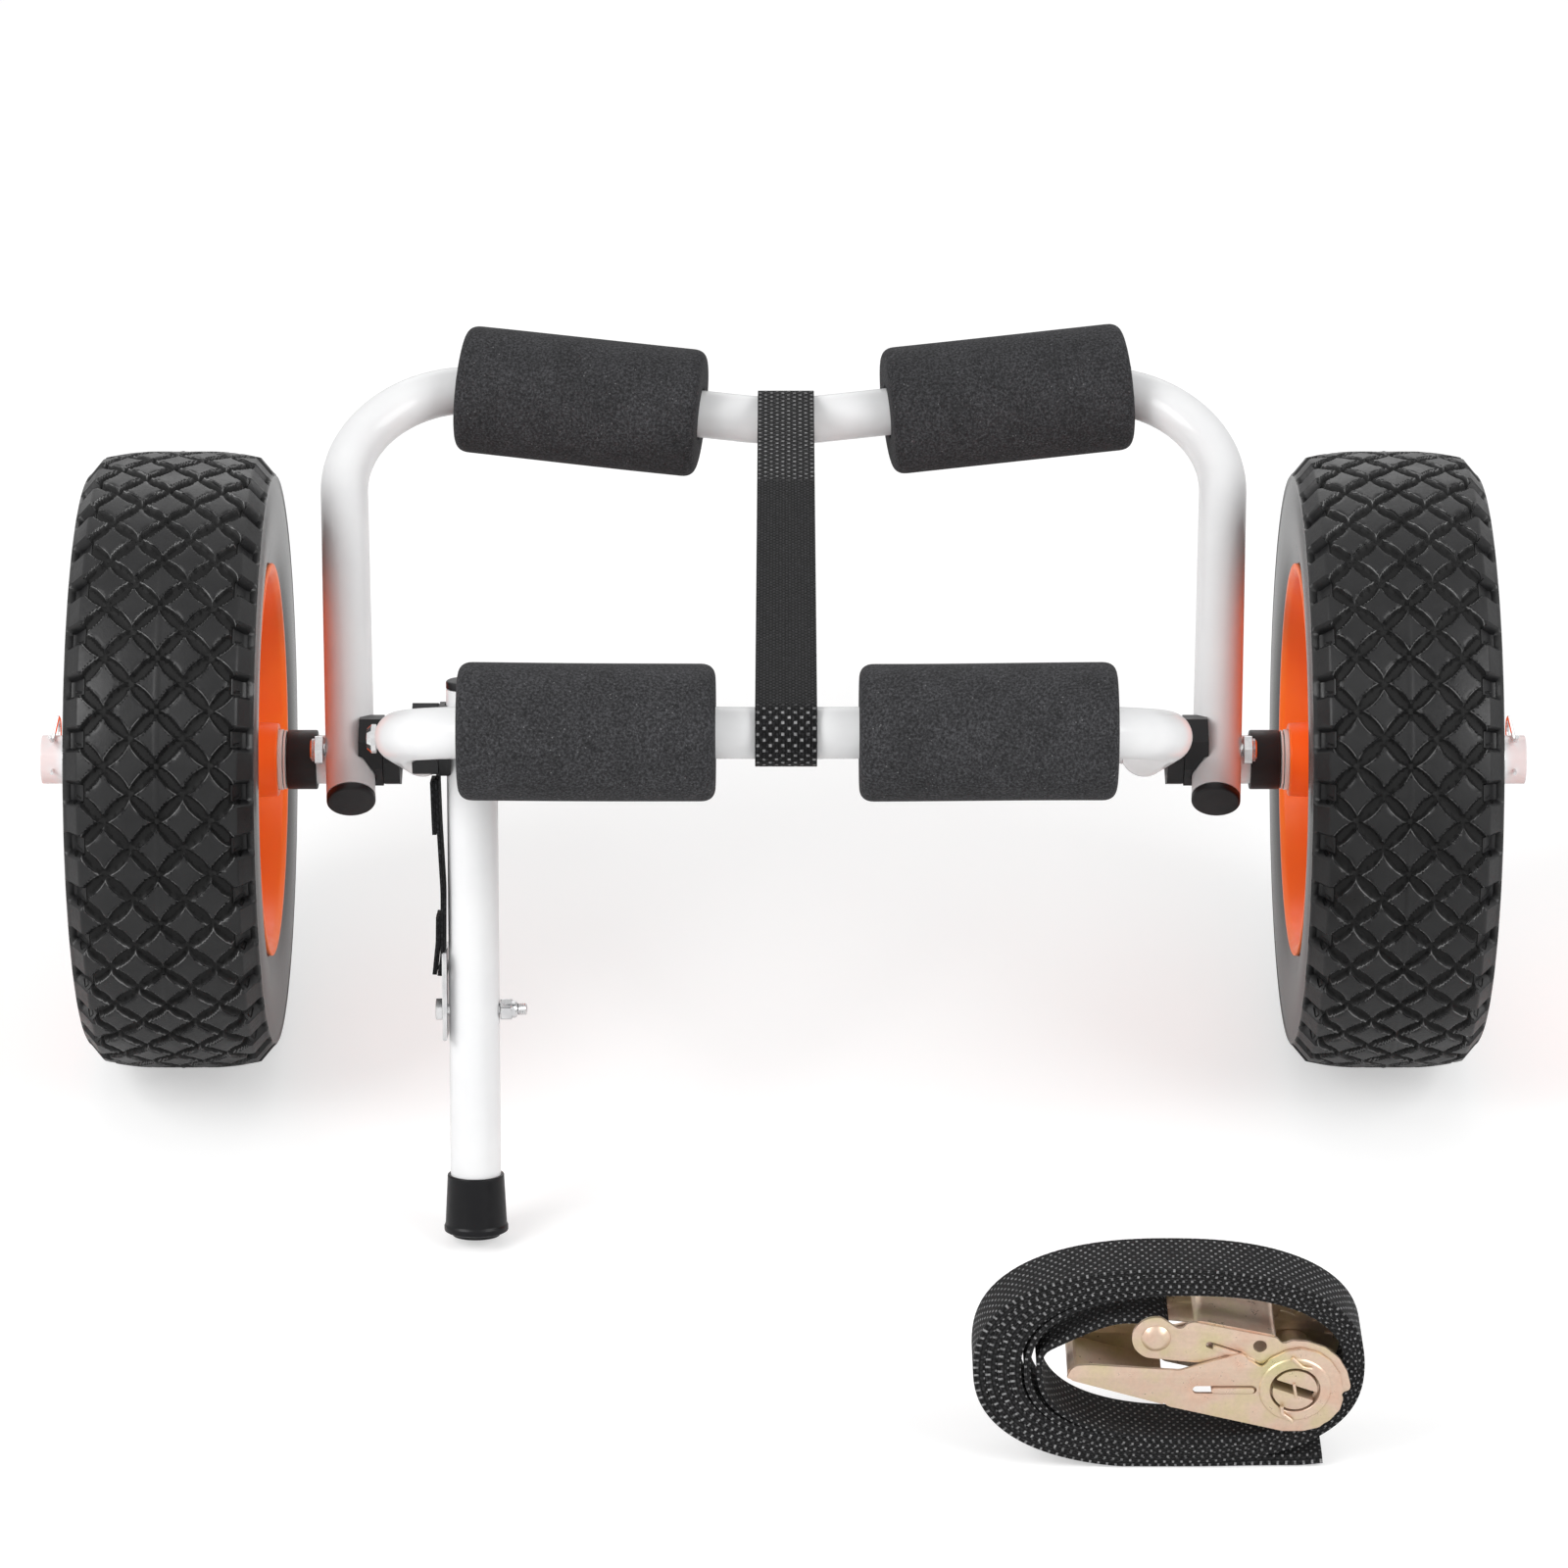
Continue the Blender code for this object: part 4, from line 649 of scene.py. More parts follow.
leg = np.array([on_stand(STAND_X, down) for down in (STAND_TOP, 0.05, 0.12, SOLE - 0.004)])
piece("stand_leg", walled(leg, ACROSS, TUBE_R, BORE_R), "stand", "silver", "stand_tube", along=True)
boot = [
    (0, 0.0037), (0.01015, 0.0037), (0.01015, 0.0250), (0.0112, 0.0250), (0.0113, 0.0232),
    (0.0122, 0.0050), (0.0127, 0.0042), (0.0127, 0.0022), (0.0115, 0.0015), (0.0095, 0.0015),
    (0.0095, 0.0), (0.0075, 0.0), (0.0075, 0.0015), (0, 0.0015),
]
boot_radii = [0, 0, 0, 0.0006, 0.0006, 0.0008, 0.0004, 0.0004, 0.0004, 0, 0.0003, 0.0003, 0, 0]
boot = turned_along(
    eased(boot, boot_radii, closed=False), on_stand(STAND_X, SOLE), -STAND_DOWN, 64
)
piece("stand_boot", boot, "stand", "boot", "stand_foot")
top_cap = turned_along(cap_profile(0.007), on_stand(STAND_X, STAND_TOP), -STAND_DOWN)
piece("stand_top_cap", top_cap, "stand", "plastic", "stand_cap")

# %% Lanyard down the stand's side
LANYARD_X = -0.13440
LANYARD_WIDTH = 0.0160
LANYARD = 0.0017


def lanyard_strip(name, lengths, offsets, replaces=()):
    """A strip down the stand: its place across follows smooth steps between a few stations."""
    down = np.linspace(lengths[0], lengths[-1], 60)
    path = STAND_PIVOT + down[:, None] * STAND_DOWN
    path[:, 0] = LANYARD_X + smoothed(np.interp(down, lengths, offsets), 9)
    return strip(name, path, LANYARD_WIDTH, LANYARD, STAND_BACK, "stand", "strap", replaces)


lanyard_strip(
    "lanyard_long", [0.0152, 0.034, 0.060, 0.086, 0.0935],
    [-0.0012, -0.0006, 0.0007, 0.0004, -0.0010], "stand_lanyard",
)
lanyard_strip("lanyard_lap", [0.0160, 0.030, 0.0370], [-0.0030, -0.0026, -0.0023])
lanyard_strip("lanyard_end", [0.0700, 0.080, 0.0930], [-0.0012, -0.0014, -0.0028])

# %% Link bolt through the stand
link_at = on_stand(0.0, 0.1085)
link_bolt = shank(0.0025, -0.1344, -0.1011, -0.1120, 0.0, link_at)
link_head = nut_points(0.0042, -0.1371, -0.1344, 0.0026, link_at, -1, lock=False)
link_nut = nut_points(0.0041, -0.1117, -0.1051, 0.0026, link_at, 1)
piece("link_shank", link_bolt, "stand", "zinc", "link_bolt")
piece("link_head", link_head, "stand", "zinc", along=True)
piece("link_lock_nut", link_nut, "stand", "zinc", "link_nut", along=True)

# %% [markdown]
# The tyres are moulded in one piece from solid foam. A tyre is one grid, 20 columns for each of its
# 36 tread pitches. The outer section is spun, then every point is sunk along the section's normal
# by a depth that depends on where it lies in the diamond pattern. The same two numbers, pitches
# round the wheel and rows across it, go into the UV map, so the material can follow the pattern.

# %% Tread pattern
WHEEL_R = 0.1270
TYRE_MIDDLE = 0.2470
PITCHES = 36
COLUMNS = 20
ROW = 0.0210
BAND = 0.0315
GROOVE_DEPTH = 0.0024
POCKET_DEPTH = 1.6 * GROOVE_DEPTH
SEAM = 0.00025


def soft_step(value):
    """0 below 0, 1 above 1, and 3v^2 - 2v^3 between."""
    value = np.clip(value, 0.0, 1.0)
    return value * value * (3 - 2 * value)


def diamond_gap(pitch, row):
    """How far a point lies inside a block: two families of diagonals cross, and each groove is a
    lens, 0.020 + 0.105 (1 - (2b)^2) wide on each side, where b is the place along it."""
    a = np.abs(pitch + row - np.round(pitch + row))
    b = np.abs(pitch - row - np.round(pitch - row))
    lens_a = 0.020 + 0.105 * (1 - (2 * b) ** 2)
    lens_b = 0.020 + 0.105 * (1 - (2 * a) ** 2)
    return np.minimum(0.5 - a - lens_a, 0.5 - b - lens_b)


def pocket(pitch, out):
    """1 in the pocket between two shoulder lugs: 0.4 of a pitch long, from 3 mm inside the band's
    edge outwards to the shoulder's rim."""
    beside = soft_step((0.215 - np.abs(pitch - np.round(pitch))) / 0.045)
    return beside * soft_step((out + 0.0036) / 0.0013) * soft_step((0.0098 - out) / 0.0022)


# %% Tyres
def tyre_section():
    """Half of the outer section from the tread's middle to the seat, and how far each point lies
    beyond the band's edge. The crown is flat, then drops with the square of the offset."""
    offset = np.linspace(0.0, BAND, 35)
    beyond = np.clip((2 * offset - ROW) / (2 * BAND - ROW), 0, None)
    crown = np.stack([offset, WHEEL_R - 0.0025 * beyond**2], axis=-1)
    shoulder = (0.0374, 0.1156)
    lugs = [(0.0315, 0.1245), (0.0366, 0.1184), (0.0377, 0.1176), (0.0379, 0.1164), shoulder]
    side = [shoulder, (0.0382, 0.1100), (0.0384, 0.1040), (0.0381, 0.0960), (0.0371, 0.0895)]
    side += [(0.0356, 0.0845), (0.0350, 0.0815), (0.0346, 0.0795), (0.0346, 0.0769)]
    lugs = resampled(eased(lugs, 0.0012, closed=False, steps=4), 0.0008)[1:]
    side = resampled(eased(side, 0.0050, closed=False, steps=5), 0.0020)[1:]
    half = np.concatenate([crown, lugs, side])
    run = distance_along(half)
    return half, run - run[len(crown) - 1]


def tyre_points(side):
    """Rows from one seat over the tread to the other, columns round the wheel, and their UV."""
    half, out = tyre_section()
    section = np.concatenate([half[::-1] * (-1, 1), half[1:]])
    out = np.concatenate([out[::-1], out[1:]])[:, None]
    along = np.gradient(section, axis=0)
    normal = np.stack([-along[:, 1], along[:, 0]], axis=-1)
    normal /= np.linalg.norm(normal, axis=1)[:, None]
    pitch = np.arange(PITCHES * COLUMNS + 1)[None] / COLUMNS
    inside = out <= 0
    row = np.where(inside, np.abs(section[:, :1]), BAND + out) / ROW
    block = np.where(inside, soft_step(diamond_gap(pitch, row) / 0.050), 1.0)
    sunk = np.maximum(GROOVE_DEPTH * (1 - block), POCKET_DEPTH * pocket(pitch, out))
    sunk = sunk - SEAM * (np.abs(section[:, :1]) < 0.0004) * (block > 0.9)
    radius = section[:, 1:] - sunk * normal[:, 1:]
    width = section[:, :1] - sunk * normal[:, :1]
    angle = 2 * np.pi * pitch / PITCHES
    y = AXLE[1] + radius * np.sin(angle)
    z = AXLE[2] - radius * np.cos(angle)
    points = np.stack([side * (TYRE_MIDDLE + width), y, z], axis=-1)
    uv = np.stack(np.broadcast_arrays(pitch, row * np.sign(section[:, :1])), axis=-1)
    return points[:, :-1], np.concatenate([uv, uv[:1]])


for side, word in SIDES:
    points, pattern = tyre_points(side)
    piece(
        f"{word}_tread_tyre", points, f"{word}_wheel", "tread", f"{word}_tyre",
        along=True, uv=pattern,
    )

# %% [markdown]
# The rims are injection-moulded: a drum that holds the tyre between two lips, a dished web with
# raised ribs, and a long hub. One closed profile is spun, and the web's height is changed by the
# angle to raise the ribs.

# %% Rims
RIBS = 10
RIB_HALF = 0.0022
WEB_LOW_R = 0.016
WEB_HIGH_R = 0.071
WEB_STEP = 0.0020
WEB_MIDDLE = 0.2390
HUB_LOW, HUB_HIGH = 0.2080, 0.2930
RIM_STEPS = 240


def rim_profile():
    """The closed section of hub, web and drum as (radius, place along the axle), with more points
    on the web, where the ribs change its height."""
    profile = [
        (0.0150, HUB_HIGH), (0.0162, 0.2520), (0.0290, 0.2430), (0.0520, 0.2470), (0.0702, 0.2500),
        (0.0723, 0.2645), (0.0763, 0.2817), (0.0785, 0.2835), (0.0810, 0.2835), (0.0810, 0.2820),
        (0.0765, 0.2818), (0.0765, 0.2122), (0.0810, 0.2120), (0.0810, 0.2105), (0.0785, 0.2105),
        (0.0763, 0.2123), (0.0723, 0.2245), (0.0702, 0.2370), (0.0520, 0.2345), (0.0290, 0.2305),
        (0.0162, 0.2275), (0.0150, HUB_LOW), (0.0126, HUB_LOW), (0.0126, HUB_HIGH),
    ]
    radii = [0.001, 0.006, 0.006, 0.01, 0.006, 0.004, 0.001, 0.0008, 0.0006, 0.0004, 0.0002]
    profile = eased(profile, radii + radii[:0:-1] + [0.001, 0.0005, 0.0005], steps=5)
    far = np.linalg.norm(np.diff(profile, axis=0), axis=1)
    on_web = (profile[:-1, 0] > WEB_LOW_R) & (profile[:-1, 0] < WEB_HIGH_R)
    count = np.where(on_web, np.maximum(1, (far / WEB_STEP).astype(int)), 1)
    first = np.repeat(np.cumsum(count) - count, count)
    part = (np.arange(count.sum()) - first + 1) / np.repeat(count, count)
    place = np.concatenate([[0.0], np.repeat(np.arange(len(count)), count) + part])
    return points_at(place, np.arange(len(profile)), profile)


def rim_points(side):
    """The profile spun, then the web moved along the axle: a rib of even width rises from each face
    at every tenth of a turn, taller towards the hub."""
    profile = rim_profile()
    points = spun(profile, AXLE, steps=RIM_STEPS)
    angle = full_turn(RIM_STEPS)
    swing = np.abs((angle * RIBS / (2 * np.pi) + 0.5) % 1.0 - 0.5) * 2 * np.pi / RIBS
    r = profile[:, 0]
    thin = soft_step((RIB_HALF - swing[None] * r[:, None]) / 0.0009)
    reach = soft_step((r - 0.0160) / 0.003) * soft_step((0.0700 - r) / 0.003)
    face = np.where(profile[:, 1] > WEB_MIDDLE, 1.0, -1.0)
    tall = (0.0050 + 0.0040 * soft_step((0.040 - r) / 0.02)) * reach
    points[:, :, 0] += face[:, None] * tall[:, None] * thin
    points[:, :, 0] *= side
    return points


for side, word in SIDES:
    rim = rim_points(side)
    piece(f"{word}_moulded_rim", rim, f"{word}_wheel", "orange", f"{word}_rim", along=True)

# %% [markdown]
# On each axle sit a plastic collar, a thin washer, the two flanged bushes of the wheel and an end
# washer. All are rings: a small section with rounded corners, spun about the axle.

# %% Bushes, washers and collars on the axles
RINGS = (
    ("collar", 0.1921, 0.2045, 0.0102, 0.01225, 0.0007, "plastic", "axle_collar"),
    ("thin_washer", 0.2049, 0.2058, 0.0103, 0.0122, 0.0002, "bush", "inner_washer"),
    ("end_washer", 0.2954, 0.2963, 0.0103, 0.0140, 0.0002, "zinc", "outer_washer"),
)
SLEEVES = (("inner", 0.2062, 1, 0.0125), ("outer", 0.2950, -1, 0.0150))
SLEEVE_R, SLEEVE_BORE = 0.0124, 0.0107
FLANGE = 0.0016
SLEEVE_LONG = 0.018
for side, word in SIDES:
    for key, low, high, inner, outer, edge, finish, node in RINGS:
        corners = eased([(outer, low), (outer, high), (inner, high), (inner, low)], edge)
        ring_points = spun(corners * (1, side), AXLE)
        piece(f"{word}_{key}", ring_points, "rear_frame", finish, f"{word}_{node}", along=True)
    for key, face, way, flange in SLEEVES:
        seat, end = face + way * FLANGE, face + way * SLEEVE_LONG
        corners = [(flange, face), (flange, seat), (SLEEVE_R, seat)]
        corners += [(SLEEVE_R, end), (SLEEVE_BORE, end), (SLEEVE_BORE, face)]
        bush = spun(eased(corners, 0.0003) * (1, side), AXLE)
        node = f"{word}_{key}_bush"
        piece(f"{word}_{key}_sleeve", bush, f"{word}_wheel", "bush", node, along=True)

# %% [markdown]
# The tie-down strap is wound into a flat oval and stands on its outer turn. Its line is an oval
# that grows and shifts while it turns. The webbing is drawn nearly as thick as the room between
# two turns, as in a tight winding, and its free end trails off along the ground.

# %% Wound webbing
TIE = np.array([0.1440, -0.2428, 0.0430])
TIE_WIDTH = 0.0250
TIE_TURNS = 6
TIE_START = 0.72
TIE_OUTER = (0.0725, 0.0425)
TIE_INNER = (0.0545, 0.0290)
TIE_SHIFT = 0.0090
TIE_SQUARE = 0.85
TIE_STEP = 0.0026
TIE_LOWEST = -0.0425
BOLT_AT = np.array([-0.0060, 0.0150])
BOLT_LOOP_R = 0.0048
SPINDLE_AT = np.array([0.0460, -0.0060])
UPWARD = np.array([0.0, 0.0, 1.0])


def upright(points):
    """Points (x, z) from the coil's middle, in the upright plane through it."""
    points = np.asarray(points, float)
    return TIE + points[..., :1] * ACROSS + points[..., 1:] * UPWARD


def winding(turn):
    """The webbing's middle line at a turn count: an oval whose half-axes grow with the turn and
    whose middle shifts, with |cos| and |sin| raised to a power to square it a little."""
    share = turn / TIE_TURNS
    wide = TIE_INNER[0] + (TIE_OUTER[0] - TIE_INNER[0]) * share
    tall = TIE_INNER[1] + (TIE_OUTER[1] - TIE_INNER[1]) * share
    angle = 2 * np.pi * turn - np.pi / 2
    swing = np.sign(np.cos(angle)) * np.abs(np.cos(angle)) ** TIE_SQUARE
    rise = np.sign(np.sin(angle)) * np.abs(np.sin(angle)) ** TIE_SQUARE
    return np.stack([TIE_SHIFT * (1 - share) + wide * swing, tall * rise], axis=-1)


def room_beside(line):
    """Distance from each point to the nearest run of the line that isn't its own neighbour."""
    run = np.arange(len(line)) * TIE_STEP
    apart = np.linalg.norm(line[:, None] - line[None], axis=2)
    apart[np.abs(run[:, None] - run[None]) < 0.030] = 1.0
    return apart.min(axis=1)


line = winding(np.linspace(TIE_START, TIE_TURNS, 620))
loop = np.radians(np.linspace(-130, 80, 20))
start = BOLT_AT + BOLT_LOOP_R * np.stack([np.cos(loop), np.sin(loop)], axis=-1)
lead = [start[-1], (-0.0200, 0.0210), (-0.0320, 0.0160), line[0]]
lead = eased(lead, 0.008, closed=False, steps=8)[1:-1]
tail = [(0.010, -0.04255), (0.024, -0.0425), (0.040, -0.0418), (0.0585, -0.0398)]
wound = smoothed(resampled(np.concatenate([start, lead, line, tail]), TIE_STEP), 5)
wound[:, 1] = np.maximum(wound[:, 1], TIE_LOWEST)
beside = room_beside(wound)
print(f"wound webbing: least pitch {beside.min() * 1000:.2f} mm")
share = np.linspace(0.0, 1.0, len(beside))
most = np.interp(share, [0.0, 0.19, 0.27], [0.0020, 0.0021, 0.0044])
thick = smoothed(np.clip(0.955 * beside, 0.0010, most), 13)
thick = np.minimum(thick, 0.98 * beside)
tie_path = upright(wound)
tie_path[:, 2] = np.maximum(tie_path[:, 2], thick / 2)
webbing = strip(
    "wound_webbing", tie_path, TIE_WIDTH, thick, (0, 1, 0), "tie_down", "wound", "tie_down_webbing"
)

# %% [markdown]
# A ratchet is made from stamped sheet steel: flat outlines with slots and holes, their edges
# rounded by the press. A 2D curve with holes, an extrusion and a small bevel makes just that, and
# it becomes a mesh before it is stood upright.

# %% Stamped plates
PLATE = 0.0015
PRESSED = 0.0003
SIDE_IN = 0.0135
HANDLE_IN = 0.0153


def stamped(name, outline, holes, low_y, high_y, body, replaces=()):
    """An outline of (x, z) points about the coil's middle, with holes, as a plate across Y."""
    curve = bpy.data.curves.new(name + "_curve", "CURVE")
    curve.dimensions = "2D"
    curve.fill_mode = "BOTH"
    curve.extrude = (high_y - low_y) / 2 - PRESSED
    curve.bevel_depth = PRESSED
    curve.bevel_resolution = 1
    curve.offset = -PRESSED
    for points in [outline, *holes]:
        points = np.asarray(points, float)
        spline = curve.splines.new("POLY")
        spline.points.add(len(points) - 1)
        flat = np.concatenate([points, np.tile([0.0, 1.0], (len(points), 1))], axis=1)
        spline.points.foreach_set("co", flat.astype(np.float32).ravel())
        spline.use_cyclic_u = True
    shape = bpy.data.objects.new(name + "_shape", curve)
    bpy.context.scene.collection.objects.link(shape)
    bpy.context.view_layer.update()
    solid = shape.evaluated_get(bpy.context.evaluated_depsgraph_get())
    mesh = bpy.data.meshes.new_from_object(solid)
    bpy.data.objects.remove(shape, do_unlink=True)
    place = Vector(TIE) + Vector((0, (low_y + high_y) / 2, 0))
    mesh.transform(Matrix.Translation(place) @ Matrix.Rotation(math.pi / 2, 4, "X"))
    mesh.materials.clear()
    return dress(name, mesh, body, "gold", replaces)


def circle(centre, radius, start=0.0, end=360.0, steps=32):
    """Points on an arc, in degrees, counterclockwise."""
    closed = abs(end - start) >= 360
    angle = np.radians(np.linspace(start, end, steps, endpoint=not closed))
    return np.asarray(centre) + radius * np.stack([np.cos(angle), np.sin(angle)], axis=-1)


def slot_hole(first, second, radius):
    """A slot with round ends between two points."""
    first, second = np.asarray(first, float), np.asarray(second, float)
    heading = math.degrees(math.atan2(*(second - first)[::-1]))
    far_end = circle(second, radius, heading - 90, heading + 90, 10)
    near_end = circle(first, radius, heading + 90, heading + 270, 10)
    return np.concatenate([far_end, near_end])


def by_spindle(points):
    """Points given in millimetres from the spindle, as metres from the coil's middle."""
    return SPINDLE_AT + np.asarray(points, float) / 1000.0


def bent_plate(name, corners, radius, width, thick, step, body, steps=4):
    """A strip of sheet bent along a line of points in millimetres from the spindle."""
    line = by_spindle(eased(corners, radius, closed=False, steps=steps))
    strip(name, resampled(upright(line), step), width, thick, (0, 1, 0), body, "gold")


# %% Ratchet frame
bolt_mm = (BOLT_AT - SPINDLE_AT) * 1000
frame_outline = [
    *(bolt_mm + circle((0, 0), 9.0, 78, 250, 14)),
    (-35.0, 10.3), (-19.0, 4.0), (-12.0, -14.0), (0.0, -19.2), (9.0, -17.6), (13.5, -14.8),
    (17.3, -10.0), (18.4, -5.0), (17.6, -3.6), (18.4, -2.2), (20.6, -1.4), (20.9, 0.4),
    (19.4, 6.6), (16.2, 12.4), (11.0, 17.0), (4.2, 19.6), (-1.5, 20.0), (-3.6, 18.9),
    (-5.6, 19.0), (-7.2, 21.2), (-38.0, 28.0), (-40.4, 27.4), (-42.4, 25.2), (-44.4, 25.4),
]
frame_outline = by_spindle(eased(frame_outline, 0.7, steps=2))
frame_holes = [
    by_spindle(circle((0.0, 0.0), 9.4, steps=40)),
    by_spindle(circle((-13.4, 17.6), 2.5, steps=20)),
    by_spindle(slot_hole((-32.2, 18.2), (-21.2, 14.2), 1.25)),
    circle(BOLT_AT, 0.0038, steps=24),
]
for name, low, replaced in (
    ("ratchet_side_plates", -SIDE_IN - PLATE, "ratchet_frame"), ("ratchet_back_plate", SIDE_IN, ()),
):
    stamped(name, frame_outline, frame_holes, low, low + PLATE, "tie_down", replaced)

# %% Flange across the frame's top
flange = [(-37.6, 26.2), (-36.6, 27.4), (-35.0, 27.3), (-9.6, 21.7), (-8.4, 21.2), (-8.0, 19.8)]
bent_plate("ratchet_flange", flange, 0.8, 2 * SIDE_IN + 0.0022, 0.0014, 0.0008, "tie_down")

# %% Rivet that holds the webbing's sewn end
head = [(0, 0.0022), (0.0030, 0.0021), (0.0042, 0.0013)]
head += [(0.0050, 0.0006), (0.0056, 0.0), (0.0036, 0.0)]
rivet = eased([(r, h + SIDE_IN + PLATE) for r, h in head], 0.0006, closed=False)
rivet = np.concatenate([rivet, rivet[::-1] * (1, -1)])
piece("ratchet_rivet", spun(rivet, upright(BOLT_AT), "y", 48), "tie_down", "gold", "ratchet_bolt")

# %% Toothed wheels and pawls behind the plates
TEETH = 13
TOOTH_FOOT, TOOTH_TALL, TOOTH_RISE = 14.6, 2.6, 0.78
teeth = full_turn(TEETH * 12)
tooth = (teeth * TEETH / (2 * np.pi)) % 1.0
ramp = np.where(tooth < TOOTH_RISE, tooth / TOOTH_RISE, (1 - tooth) / (1 - TOOTH_RISE))
wheel_r = TOOTH_FOOT + TOOTH_TALL * ramp
gear = by_spindle(wheel_r[:, None] * np.stack([np.cos(teeth), np.sin(teeth)], axis=-1))
gear_hole = by_spindle(circle((0, 0), 8.2, steps=32))
for key, low in (("front", -SIDE_IN + 0.0001), ("back", SIDE_IN - 0.0011)):
    stamped(f"ratchet_wheel_{key}", gear, [gear_hole], low, low + 0.0010, "ratchet_spindle")
pawl = by_spindle(slot_hole((-30.0, 17.2), (-21.8, 14.3), 1.0))
stamped("locking_pawl", pawl, [], -0.0160, 0.0160, "tie_down")

# %% Handle
HANDLE_OUT = HANDLE_IN + PLATE
handle_outline = [
    (-83.4, 8.6), (-81.0, 10.3), (-76.0, 10.6), (-43.0, 8.2), (-21.0, 15.4), (-18.5, 14.2),
    (-17.6, 12.6), (-12.6, 9.6), (-11.2, 10.8), (-9.8, 12.9), (-4.0, 16.2), (2.0, 17.4),
    (8.4, 15.6), (13.2, 12.0), (16.6, 6.4), (17.8, 0.0), (17.2, -4.4), (17.8, -6.2),
    (15.6, -10.8), (9.6, -16.6), (3.6, -18.2), (-4.0, -18.2), (-47.0, -7.4), (-48.4, -6.0),
    (-85.0, 4.9),
]
handle_outline = by_spindle(eased(handle_outline, 0.9, steps=3))
handle_slot = by_spindle(slot_hole((-36.4, -0.2), (-15.8, -0.2), 1.55))
handle_hole = by_spindle(circle((0, 0), 9.2, steps=48))
for name, low, replaced in (
    ("ratchet_lever", -HANDLE_OUT, "ratchet_handle"), ("ratchet_lever_back", HANDLE_IN, ()),
):
    holes = [handle_slot, handle_hole]
    stamped(name, handle_outline, holes, low, low + PLATE, "ratchet_handle", replaced)

# %% Embossed ring, rolled grip and sprung pawl of the handle
for key, way in (("front", -1), ("back", 1)):
    under, over = way * (HANDLE_OUT - 0.0004), way * (HANDLE_OUT + 0.0007)
    rings = eased([(0.0092, under), (0.0094, over), (0.0128, over), (0.0138, under)], 0.0004)
    embossed = spun(rings, upright(SPINDLE_AT), "y", 64)
    piece(f"lever_ring_{key}", embossed, "ratchet_handle", "gold", along=True)
grip = [(-81.6, 9.0), (-84.2, 6.6), (-83.0, 3.8), (-48.6, -6.6)]
bent_plate("lever_grip", grip, 2.0, 2 * HANDLE_IN + 0.0012, 0.0016, 0.0010, "ratchet_handle", 8)
for name, first, second, radius, reach in (
    ("sprung_pawl", (-30.0, -0.2), (-16.2, -0.2), 1.15, HANDLE_OUT + 0.0008),
    ("pawl_ear", (-20.6, 13.7), (-16.1, 11.1), 1.2, SIDE_IN + PLATE + 0.0006),
):
    stamped(name, by_spindle(slot_hole(first, second, radius)), [], -reach, reach, "ratchet_handle")

# %% [markdown]
# The spindle is two half-moon bars with a slit between them for the webbing. A split pin holds
# them, and its bent ends show on the front plate.

# %% Spindle
MOON_R, SLIT = 8.4, 3.6
SLANT = math.radians(-20)


def half_moon(turn, steps=24):
    """A segment of a circle cut off at half the slit from its middle, turned by an angle."""
    lean = math.asin(SLIT / 2 / MOON_R)
    angle = np.linspace(lean, math.pi - lean, steps)
    x, y = MOON_R * np.cos(angle), MOON_R * np.sin(angle)
    c, s = math.cos(turn), math.sin(turn)
    return np.stack([x * c - y * s, x * s + y * c], axis=-1)


reach = HANDLE_OUT + 0.0006
for number, replaced in enumerate(("ratchet_spindle", ())):
    moon = eased(by_spindle(half_moon(SLANT + number * math.pi)), 0.0006, steps=2)
    stamped(f"spindle_half_{number}", moon, [], -reach, reach, "ratchet_spindle", replaced)

# %% Split pin
PIN_SIDE = (0.13, -0.99, 0.05)
FRONT = -HANDLE_OUT * 1000 - 1.2


def pin(name, corners, radius):
    """A bent wire through (x, depth, z) points in millimetres, from the spindle and from the front
    plate's face, on a smooth line."""
    corners = np.asarray(corners, float) + (0.0, FRONT, 0.0)
    place = np.linspace(0, len(corners) - 1, 12 * (len(corners) - 1) + 1)
    rough = points_at(place, np.arange(len(corners)), corners)
    centre = upright(SPINDLE_AT) + smoothed(rough, 9) / 1000
    wire = with_poles(swept(centre, ring(radius, 10), PIN_SIDE))
    piece(name, wire, "ratchet_spindle", "gold")


foot = [(-4.8, -0.2, -6.2), (-4.6, -0.5, -9.4), (-1.0, -0.5, -12.4), (-0.8, -0.2, -13.6)]
pin("split_pin_middle", [(0.6, 0.5, -3.2), (0.0, 0.0, 0.0), (-0.6, 0.5, 3.2)], 0.0006)
pin("split_pin_top", [(-1.8, -0.2, 14.6), (2.4, -0.4, 10.4), (6.0, -0.2, 9.6)], 0.00075)
pin("split_pin_foot", foot, 0.00075)

# %% [markdown]
# Every finish is made of nodes. A small helper adds a node and fills its sockets, so each material
# reads as a list of what the real surface does: its colour, how it varies, its gloss and its grain.


# %% Helpers for materials
def grey(level):
    """An even grey as a colour with its alpha."""
    return (level, level, level, 1.0)


